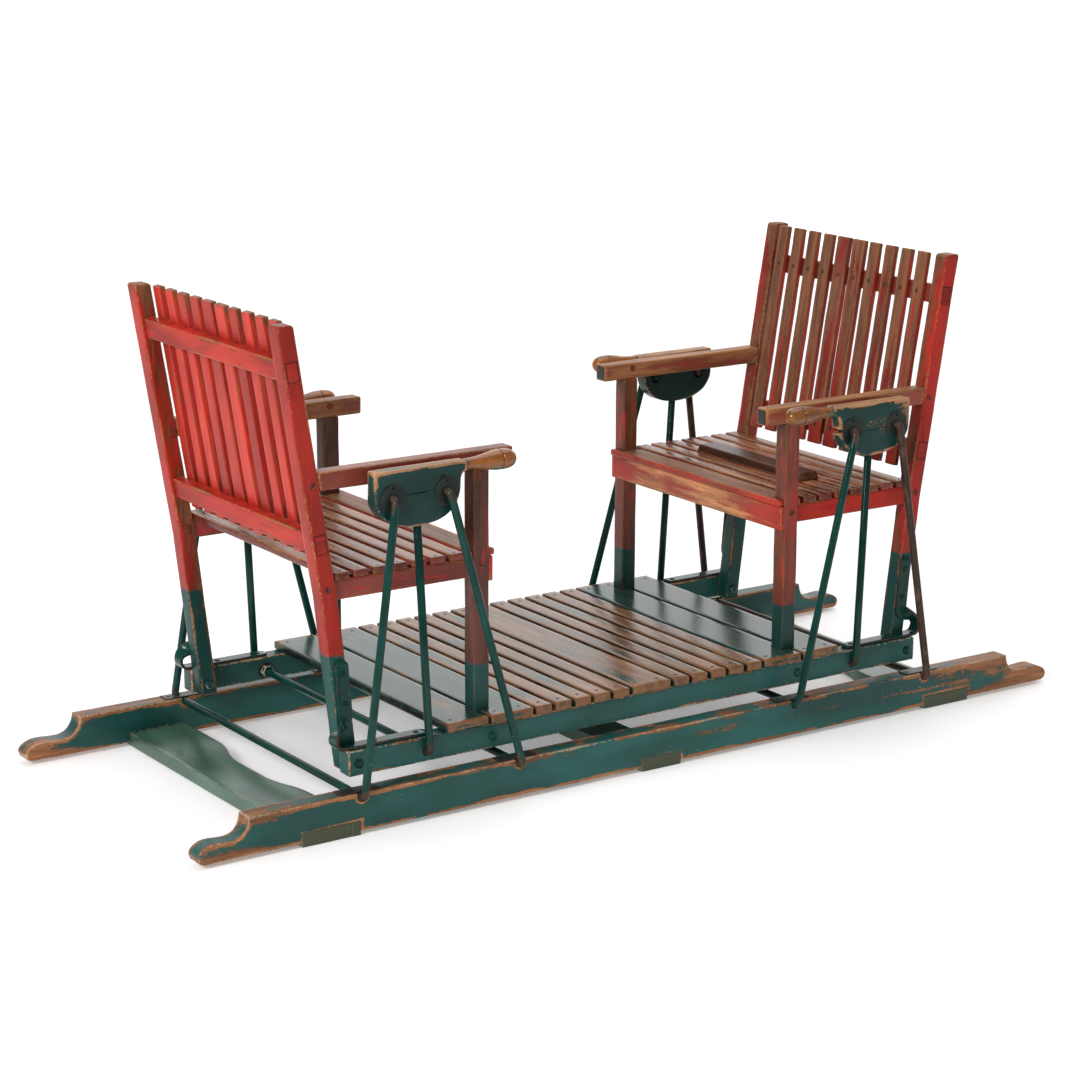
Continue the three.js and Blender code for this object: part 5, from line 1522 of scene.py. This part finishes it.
class GLIDER_OT_posts(bpy.types.Operator):
    """Four front posts and four back posts, red above and green below, with their bolts"""

    bl_idname = "glider.posts"
    bl_label = "Posts"

    def execute(self, context):
        sizes = context.scene.glider_sizes
        ease, reach = sizes.edge_ease, sizes.wear_reach
        y0, y1 = POST_INNER_Y, POST_OUTER_Y
        front = rectangle(FRONT_POST_X, FRONT_POST_X + POST, *FRONT_POST_LEVELS)
        back = back_post_outline()
        for row, side, sx, sy in CORNERS:
            seed = 60 + 5 * sx + sy
            signs = (sx, sy, 1)
            piece = Piece(f"front_upright_{row}_{side}")
            piece.add(slab(front, y0, y1, ease, reach, along=1, uneven=0.5, seed=seed), SIDE, signs=signs,
                      seed=seed, bare=front_post_bare, tone=scattered(seed))
            # The left front posts take the darker finish, which paints the shade of their seat
            piece.finish("platform", "red_painted_wood", f"front_post_{side}", f"front_post_{row}_{side}")
            piece = Piece(f"back_upright_{row}_{side}")
            piece.add(slab(back, y0, y1, ease * 1.2, reach, along=1, uneven=0.5, seed=seed + 1), SIDE,
                      signs=signs, seed=seed + 9, bare=back_post_bare, tone=scattered(seed + 2))
            piece.finish("platform", "red_painted_wood", "post_red", f"back_post_{row}_{side}")
            bolts = Piece(f"seat_bolts_{row}_{side}")
            for number, (x, z) in enumerate(SEAT_BOLTS):
                bolts.add(head(*SEAT_BOLT_HEAD), OUTWARD @ spin(0.7 + number), (x, y1, z), signs, seed=number)
                if row == "far" or side == "left":
                    bolts.add(nut(*SEAT_NUT), INWARD, (x, y0, z), signs, seed=number)
            bolts.add(head(*ARM_BOLT_HEAD), INWARD, (ARM_BOLT[0], y0, ARM_BOLT[1]), signs)
            bolts.finish("platform", "worn_iron", "red_head")
            feet = Piece(f"foot_bolts_{row}_{side}")
            nuts = Piece(f"foot_nuts_{row}_{side}")
            for x in FOOT_BOLTS_X:
                bolt = head(sizes.bolt_radius, FOOT_BOLT_HEIGHT)
                feet.add(bolt, OUTWARD, (x, RAIL_Y[1], FOOT_BOLT_Z), signs, seed=x)
                nuts.add(nut(*FOOT_NUT), INWARD, (x, y0, FOOT_BOLT_Z), signs, seed=x)
            feet.finish("platform", "green_painted_iron", "green_rod")
            nuts.finish("platform", "green_painted_iron", "worn_nut")
        return {"FINISHED"}


def arm_bare(world):
    """The top is worn brown, the sides keep some red, and the front end has gone grey."""
    side = np.where(world[:, 1] < 0, -0.30, 0.04)
    side = np.where(world[:, 2] > 0.690, 0.22, side)
    return np.where(np.abs(world[:, 0]) < np.abs(world[:, 0]).min() + 0.0004, -0.9, side)


class GLIDER_OT_arms(bpy.types.Operator):
    """Four arms that meet the reclined back posts"""

    bl_idname = "glider.arms"
    bl_label = "Arms"

    def execute(self, context):
        reach = context.scene.glider_sizes.wear_reach
        face = back_edge(np.array(ARM_LEVELS)) - POST - PLAY
        for row, side, sx, sy in CORNERS:
            node = f"arm_{row}_{side}"
            low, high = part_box(node)
            tip = min(abs(low[0]), abs(high[0]))
            outline = np.array([[tip, low[2]], [face[0], low[2]], [face[1], high[2]], [tip, high[2]]])
            seed = 80 + 3 * sx + sy
            piece = Piece(f"arm_bar_{row}_{side}")
            piece.add(slab(outline, POST_INNER_Y, POST_OUTER_Y, ARM_EASE, reach, uneven=0.5, seed=seed), SIDE,
                      signs=(sx, sy, 1), seed=seed, bare=arm_bare, tone=scattered(seed))
            piece.finish("platform", "red_painted_wood", "arm_brown" if side == "right" else "arm_red", node)
        return {"FINISHED"}


def seat_bare(world):
    """The top of the seat is rubbed brown, its ends and undersides stay redder."""
    top = np.where(world[:, 2] > SEAT_TOP - 0.0015, 0.22, -0.25)
    return top - 0.45 * ramp(np.abs(world[:, 1]), 0.27, 0.03)


def nose_bare(world):
    """The front slat is red round its nose and brown behind it."""
    behind = ramp(np.abs(world[:, 0]), 0.357, 0.003) * (world[:, 2] > SEAT_TOP - 0.0015)
    return 0.7 * behind - 0.28


def apron_bare(world):
    """The apron is rubbed bare in its middle, less so with the square of the distance from it."""
    return 0.42 - 0.62 * (np.abs(world[:, 1]) / SEAT_HALF) ** 2


def front_slat_outline():
    """The front seat slat in plan, with a notch round each front post."""
    (x0, x1), (post0, post1), y = FRONT_SLAT_X, NOTCH_X, NOTCH_Y[0]
    lower = np.array([[x0, -SEAT_HALF], [post0, -SEAT_HALF], [post0, -y], [post1, -y], [post1, -SEAT_HALF],
                      [x1, -SEAT_HALF]])
    return np.concatenate([lower, lower[::-1] * [1, -1]])


class GLIDER_OT_seats(bpy.types.Operator):
    """Two slatted seats: side rails, a notched front slat, seven slats, and the apron"""

    bl_idname = "glider.seats"
    bl_label = "Seats"

    def execute(self, context):
        sizes = context.scene.glider_sizes
        ease, reach = sizes.edge_ease, sizes.wear_reach
        under, over = SEAT_RAIL_LEVELS
        first = FRONT_SLAT_X[1]
        pitch = (float(back_edge(over)) - POST - SEAT_REAR_GAP - first) / SEAT_SLATS
        face = back_edge(np.array(SEAT_RAIL_LEVELS)) - POST - PLAY
        rail = [[SEAT_RAIL_FRONT, under], [face[0], under], [face[1], over], [SEAT_RAIL_FRONT, over]]
        for side, sx in SIDES:
            signs = (sx, 1, 1)
            rails = Piece(f"seat_rails_{side}")
            for _, sy in ROWS:
                rails.add(slab(rail, *SEAT_RAIL_Y, ease, reach, uneven=0.4, seed=sx + sy), SIDE,
                          signs=(sx, sy, 1), seed=90 + sx + 3 * sy, bare=-0.12)
            finish = "seat_rail_red" if side == "left" else "rail_red"
            rails.finish("platform", "red_painted_wood", finish, f"seat_frame_{side}")
            nose = Piece(f"front_slat_{side}")
            nose.add(slab(front_slat_outline(), over, SEAT_TOP, FRONT_SLAT_EASE, reach, along=1, uneven=0.3),
                     PLAN, signs=signs, seed=100 + sx, bare=nose_bare)
            nose.finish("platform", "red_painted_wood", "nose_red")
            slats = Piece(f"seat_slats_{side}")
            screws = Piece(f"seat_screws_{side}")
            for number in range(SEAT_SLATS):
                x1 = first + pitch * (number + 1)
                x0 = x1 - SEAT_SLAT_WIDTH
                shape = slab(rectangle(x0, x1, -SEAT_HALF, SEAT_HALF), over, SEAT_TOP, SEAT_SLAT_EASE, reach,
                             along=1, uneven=0.4, seed=number)
                slats.add(shape, PLAN, signs=signs, seed=110 + number + 11 * sx, bare=seat_bare,
                          tone=scattered(number + 20 * sx))
                for y in (-SEAT_SCREW_Y, SEAT_SCREW_Y):
                    screws.add(head(*SEAT_SCREW), PLAN, ((x0 + x1) / 2, y, SEAT_TOP - SUNK), signs)
            slats.finish("platform", "red_painted_wood", "seat_brown")
            screws.finish("platform", "worn_iron", "dark_iron")
            node = f"apron_{side}"
            low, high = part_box(node)
            apron = Piece(f"apron_board_{side}")
            outline = rectangle(low[1], high[1], low[2], high[2])
            apron.add(slab(outline, low[0], high[0], APRON_EASE, reach, uneven=0.4), END, seed=130 + sx,
                      bare=apron_bare)
            apron.finish("platform", "red_painted_wood", "apron_red", node)
            nails = Piece(f"apron_nails_{side}")
            for y in (-APRON_NAIL_Y, APRON_NAIL_Y):
                for z in (low[2] + APRON_NAIL_IN, high[2] - APRON_NAIL_IN):
                    nails.add(head(sizes.nail_radius, NAIL_HEIGHT), FORWARD, (APRON_X, y, z), signs)
            nails.finish("platform", "worn_iron", "dark_iron")
        return {"FINISHED"}


def back_slat_bare(world):
    """A back slat's front is worn brown, its rear and lower end stay red, and its sides are dark, partly
    painted shade.
    """
    foot = reclined_origin(BACK_SLAT_LEVELS[0])
    x, z = np.abs(world[:, 0]), world[:, 2]
    depth = (x - foot[0]) * -math.cos(RECLINE) + (z - foot[2]) * math.sin(RECLINE)
    middle = depth - BACK_RAIL_HALF - BACK_SLAT_THICK / 2
    # The sides get a share far below zero, which the finish paints dark brown: partly the wood, partly
    # painted shade between the slats
    side = np.where((np.abs(middle) < 0.0025) & (z < 0.95), 0.9, 0.0)
    return ramp(depth, 0.0115, 0.003) * 0.50 - 0.26 - 0.40 * ramp(z, 0.62, -0.10) - side


class GLIDER_OT_backs(bpy.types.Operator):
    """Two reclined backs: two rails with through tenons and ten slats each"""

    bl_idname = "glider.backs"
    bl_label = "Backs"

    def execute(self, context):
        sizes = context.scene.glider_sizes
        ease, reach = sizes.edge_ease, sizes.wear_reach
        axes = reclined_axes()
        inside = POST_INNER_Y - PLAY
        bar = rectangle(-inside, inside, -BACK_RAIL_HALF_HEIGHT, BACK_RAIL_HALF_HEIGHT)
        bottom, top = BACK_SLAT_LEVELS
        foot = reclined_origin(bottom)
        length = (top - bottom) / math.cos(RECLINE) - BACK_SLAT_TRIM
        face = BACK_RAIL_HALF + BACK_SLAT_THICK
        for side, sx in SIDES:
            signs = (sx, 1, 1)
            rails = Piece(f"back_rails_{side}")
            joints = Piece(f"tenon_joints_{side}")
            ends = Piece(f"tenon_ends_{side}")
            for number, z in enumerate(BACK_RAIL_LEVELS):
                seed = number + 5 * sx
                rail = slab(bar, -BACK_RAIL_HALF, BACK_RAIL_HALF, ease, reach, uneven=0.4, seed=number)
                rails.add(rail, axes, reclined_origin(z), signs, seed=140 + seed, bare=-0.12)
                for _, sy in ROWS:
                    end = tenon(z, *TENON_END)
                    end.edge *= -1
                    ends.add(end, SIDE, signs=(sx, sy, 1), seed=150 + seed + sy, bare=-0.1)
                    joints.add(tenon(z, *TENON_JOINT), SIDE, signs=(sx, sy, 1))
            finish = "rail_red" if side == "left" else "panel_dark"
            rails.finish("platform", "red_painted_wood", finish, f"back_panel_{side}")
            joints.finish("platform", "dark_wood", "shadow")
            ends.finish("platform", "red_painted_wood", "post_red")
            slats = Piece(f"back_slats_{side}")
            screws = Piece(f"back_screws_{side}")
            for number in range(BACK_SLATS):
                place = number - (BACK_SLATS - 1) / 2
                middle = place * BACK_SLAT_PITCH
                half = (BACK_MIDDLE_WIDTH if abs(place) < 1 else BACK_SLAT_WIDTH) / 2
                shape = slab(rectangle(middle - half, middle + half, 0, length), BACK_RAIL_HALF, face,
                             BACK_SLAT_EASE, SLAT_REACH, along=1, uneven=0.5, seed=number)
                slats.add(shape, axes, foot, signs, seed=160 + number + 13 * sx, bare=back_slat_bare,
                          tone=scattered(number + 31 * sx))
                for z in BACK_RAIL_LEVELS:
                    up = (z - bottom) / math.cos(RECLINE)
                    spot = np.asarray(foot) + axes @ np.array([middle, up, face - 2 * SUNK])
                    screws.add(head(*BACK_SCREW), axes, spot, signs, seed=number)
            finish = "panel_red" if side == "left" else "slat_brown"
            slats.finish("platform", "red_painted_wood", finish)
            screws.finish("platform", "worn_iron", "dark_iron")
        return {"FINISHED"}


class GLIDER_OT_spare(bpy.types.Operator):
    """The dark spare slat that lies loose on the right seat"""

    bl_idname = "glider.spare"
    bl_label = "Spare slat"

    def execute(self, context):
        low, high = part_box("spare_slat")
        outline = [[low[1], low[2]], [high[1], low[2]], [high[1] - SPARE_TAPER, high[2]],
                   [low[1] + SPARE_TAPER, high[2]]]
        piece = Piece("spare_bar")
        piece.add(slab(outline, low[0], high[0], SPARE_EASE, SLAT_REACH, uneven=0.4), END, seed=170)
        piece.finish("platform", "dark_wood", "spare_brown", "spare_slat")
        return {"FINISHED"}


def brace_line():
    """The strap's middle line in X and Z, and its twist in radians.

    It goes down the post, along a cubic swan neck, round the heel on a quarter circle and along the rail. The
    twist rises by a smooth step over the neck.
    """
    rail = RAIL_TOP + PLAY + STRAP_THICK / 2
    heel = rail + STRAP_HEEL
    x, z = STRAP_NECK
    half = (z - heel) / 2
    out = STRAP_HEEL_X + STRAP_HEEL
    leg = np.linspace(STRAP_TOP, STRAP_NECK, 14)[:-1]
    neck = bezier([[x, z], [x, z - half], [out, heel + half], [out, heel]], 16)
    t = np.linspace(0, -np.pi / 2, 9)[:-1]
    arc = np.stack([STRAP_HEEL_X + STRAP_HEEL * np.cos(t), heel + STRAP_HEEL * np.sin(t)], 1)
    foot = np.linspace([STRAP_HEEL_X, rail], [STRAP_TOE_X, rail], 22)
    rise = np.arange(len(neck)) / len(neck)
    twist = np.concatenate([np.zeros(len(leg)), rise * rise * (3 - 2 * rise), np.ones(len(arc) + len(foot))])
    return np.concatenate([leg, neck, arc, foot]), twist * np.pi / 2


class GLIDER_OT_braces(bpy.types.Operator):
    """Four twisted iron straps between the back posts and the platform rails, with their screws"""

    bl_idname = "glider.braces"
    bl_label = "Braces"

    def execute(self, context):
        line, twist = brace_line()
        run = run_along(line)
        ends = np.minimum(run, run[-1] - run)
        narrow = 0.5 * np.clip(1 - ends / STRAP_TIP, 0, 1) ** 2
        face = POST_OUTER_Y + PLAY
        for row, side, sx, sy in CORNERS:
            signs = (sx, sy, 1)
            piece = Piece(f"strap_{row}_{side}")
            piece.add(strap(line, twist, STRAP_WIDTH, STRAP_THICK, narrow), PLAN, (0, face, 0), signs,
                      seed=180 + sx + 3 * sy)
            piece.finish("platform", "green_painted_iron", "green_rod", f"brace_{row}_{side}")
            screws = Piece(f"strap_screws_{row}_{side}")
            for z in STRAP_POST_SCREWS:
                x = STRAP_TOP[0] + (z - STRAP_TOP[1]) * STRAP_LEAN
                screws.add(head(*STRAP_POST_SCREW), OUTWARD, (x, face + STRAP_THICK, z), signs)
            for x in STRAP_RAIL_SCREWS:
                spot = (x, face + STRAP_WIDTH / 2, RAIL_TOP + PLAY + STRAP_THICK)
                screws.add(head(*STRAP_RAIL_SCREW), PLAN, spot, signs)
            screws.finish("platform", "green_painted_iron", "green_rod")
        return {"FINISHED"}


# Studio

def sheet(name, corners, material):
    """A flat sheet of the studio with four corners, in one finish."""
    mesh = bpy.data.meshes.new(name)
    mesh.from_pydata(corners, [], [(0, 1, 2, 3)])
    mesh.materials.append(material)
    made = bpy.data.objects.new(name, mesh)
    bpy.context.scene.collection.objects.link(made)
    return made


def area_light(name, place, size, power):
    """A square light that looks at the middle of the glider."""
    lamp = bpy.data.lights.new(name, "AREA")
    lamp.energy = power
    lamp.size = size
    holder = bpy.data.objects.new(name, lamp)
    holder.location = place
    holder.rotation_euler = (Vector(GLIDER_MIDDLE) - Vector(place)).to_track_quat("-Z", "Y").to_euler()
    bpy.context.scene.collection.objects.link(holder)


def view_camera(lens):
    """A camera whose axes come from an azimuth a and an elevation e, rolled by a small angle.

    Its back is (sin a cos e, -cos a cos e, sin e), and its level axis is (cos a, sin a, 0).
    """
    azimuth, elevation, roll = VIEW_AZIMUTH, VIEW_ELEVATION, VIEW_ROLL
    back = Vector((math.sin(azimuth) * math.cos(elevation), -math.cos(azimuth) * math.cos(elevation),
                   math.sin(elevation)))
    level = Vector((math.cos(azimuth), math.sin(azimuth), 0))
    upright = back.cross(level)
    right = level * math.cos(roll) + upright * math.sin(roll)
    up = upright * math.cos(roll) - level * math.sin(roll)
    data = bpy.data.cameras.new("camera")
    data.sensor_width = 36
    data.lens = lens
    data.shift_x, data.shift_y = VIEW_SHIFT
    holder = bpy.data.objects.new("camera", data)
    turn = Matrix((right, up, back)).transposed().to_4x4()
    holder.matrix_world = Matrix.Translation(VIEW_PLACE) @ turn
    bpy.context.scene.collection.objects.link(holder)
    bpy.context.scene.camera = holder


class GLIDER_OT_studio(bpy.types.Operator):
    """A pale floor, white surroundings, soft lights and the camera"""

    bl_idname = "glider.studio"
    bl_label = "Studio"

    def execute(self, context):
        settings = context.scene.glider_studio
        scene = context.scene
        white = (1, 1, 1, 1)
        paper = Recipe("paper").surface((0.93, 0.93, 0.93, 1), 0.75, emission_color=white,
                                        emission_strength=settings.glow)
        far = FLOOR_REACH
        floor = sheet("studio_floor", [(-far, -far, 0), (far, -far, 0), (far, far, 0), (-far, far, 0)], paper)
        glow = Recipe("backdrop").surface((0, 0, 0, 1), 1.0, emission_color=white,
                                          emission_strength=settings.backdrop)
        backdrop = sheet("studio_backdrop", [(-9, 7, 0), (9, 7, 0), (9, 7, 7), (-9, 7, 7)], glow)
        backdrop.rotation_euler = (0, 0, VIEW_AZIMUTH)
        world = bpy.data.worlds.new("surroundings")
        world.use_nodes = True
        sky = world.node_tree.nodes["Background"]
        sky.inputs["Color"].default_value = white
        sky.inputs["Strength"].default_value = settings.sky
        scene.world = world
        scene.view_settings.view_transform = "Standard"
        area_light("key", (-4.4, -1.7, 2.7), 1.3, settings.key_power)
        area_light("overhead", (0.6, 0.4, 4.2), 3.6, settings.top_power)
        view_camera(settings.lens)
        return {"FINISHED"}


# Panel and registration

STEPS = (
    GLIDER_OT_base_rails, GLIDER_OT_cross_boards, GLIDER_OT_keepers, GLIDER_OT_bails, GLIDER_OT_washers,
    GLIDER_OT_levers, GLIDER_OT_platform, GLIDER_OT_posts, GLIDER_OT_arms, GLIDER_OT_seats, GLIDER_OT_backs,
    GLIDER_OT_spare, GLIDER_OT_braces, GLIDER_OT_studio,
)


class GLIDER_PT_panel(bpy.types.Panel):
    """Lists the sizes, the colours and each step of the dressing"""

    bl_idname = "GLIDER_PT_panel"
    bl_label = "Platform glider"
    bl_space_type = "VIEW_3D"
    bl_region_type = "UI"
    bl_category = "Glider"

    def draw(self, context):
        layout = self.layout
        for group in (context.scene.glider_sizes, context.scene.glider_colours, context.scene.glider_studio):
            box = layout.box()
            for name in group.__annotations__:
                box.prop(group, name)
        for step in STEPS:
            layout.operator(step.bl_idname)


GROUPS = (GliderSizes, GliderColours, GliderStudio)


def register():
    for kind in (*GROUPS, *STEPS, GLIDER_PT_panel):
        bpy.utils.register_class(kind)
    bpy.types.Scene.glider_sizes = bpy.props.PointerProperty(type=GliderSizes)
    bpy.types.Scene.glider_colours = bpy.props.PointerProperty(type=GliderColours)
    bpy.types.Scene.glider_studio = bpy.props.PointerProperty(type=GliderStudio)


def unregister():
    del bpy.types.Scene.glider_studio
    del bpy.types.Scene.glider_colours
    del bpy.types.Scene.glider_sizes
    for kind in (GLIDER_PT_panel, *reversed(STEPS), *reversed(GROUPS)):
        bpy.utils.unregister_class(kind)


def main():
    """Registers the add-on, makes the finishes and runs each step."""
    register()
    FINISH.update(finishes(bpy.context.scene.glider_colours))
    for step in STEPS:
        group, name = step.bl_idname.split(".")
        getattr(getattr(bpy.ops, group), name)()


if __name__ == "__main__":
    main()
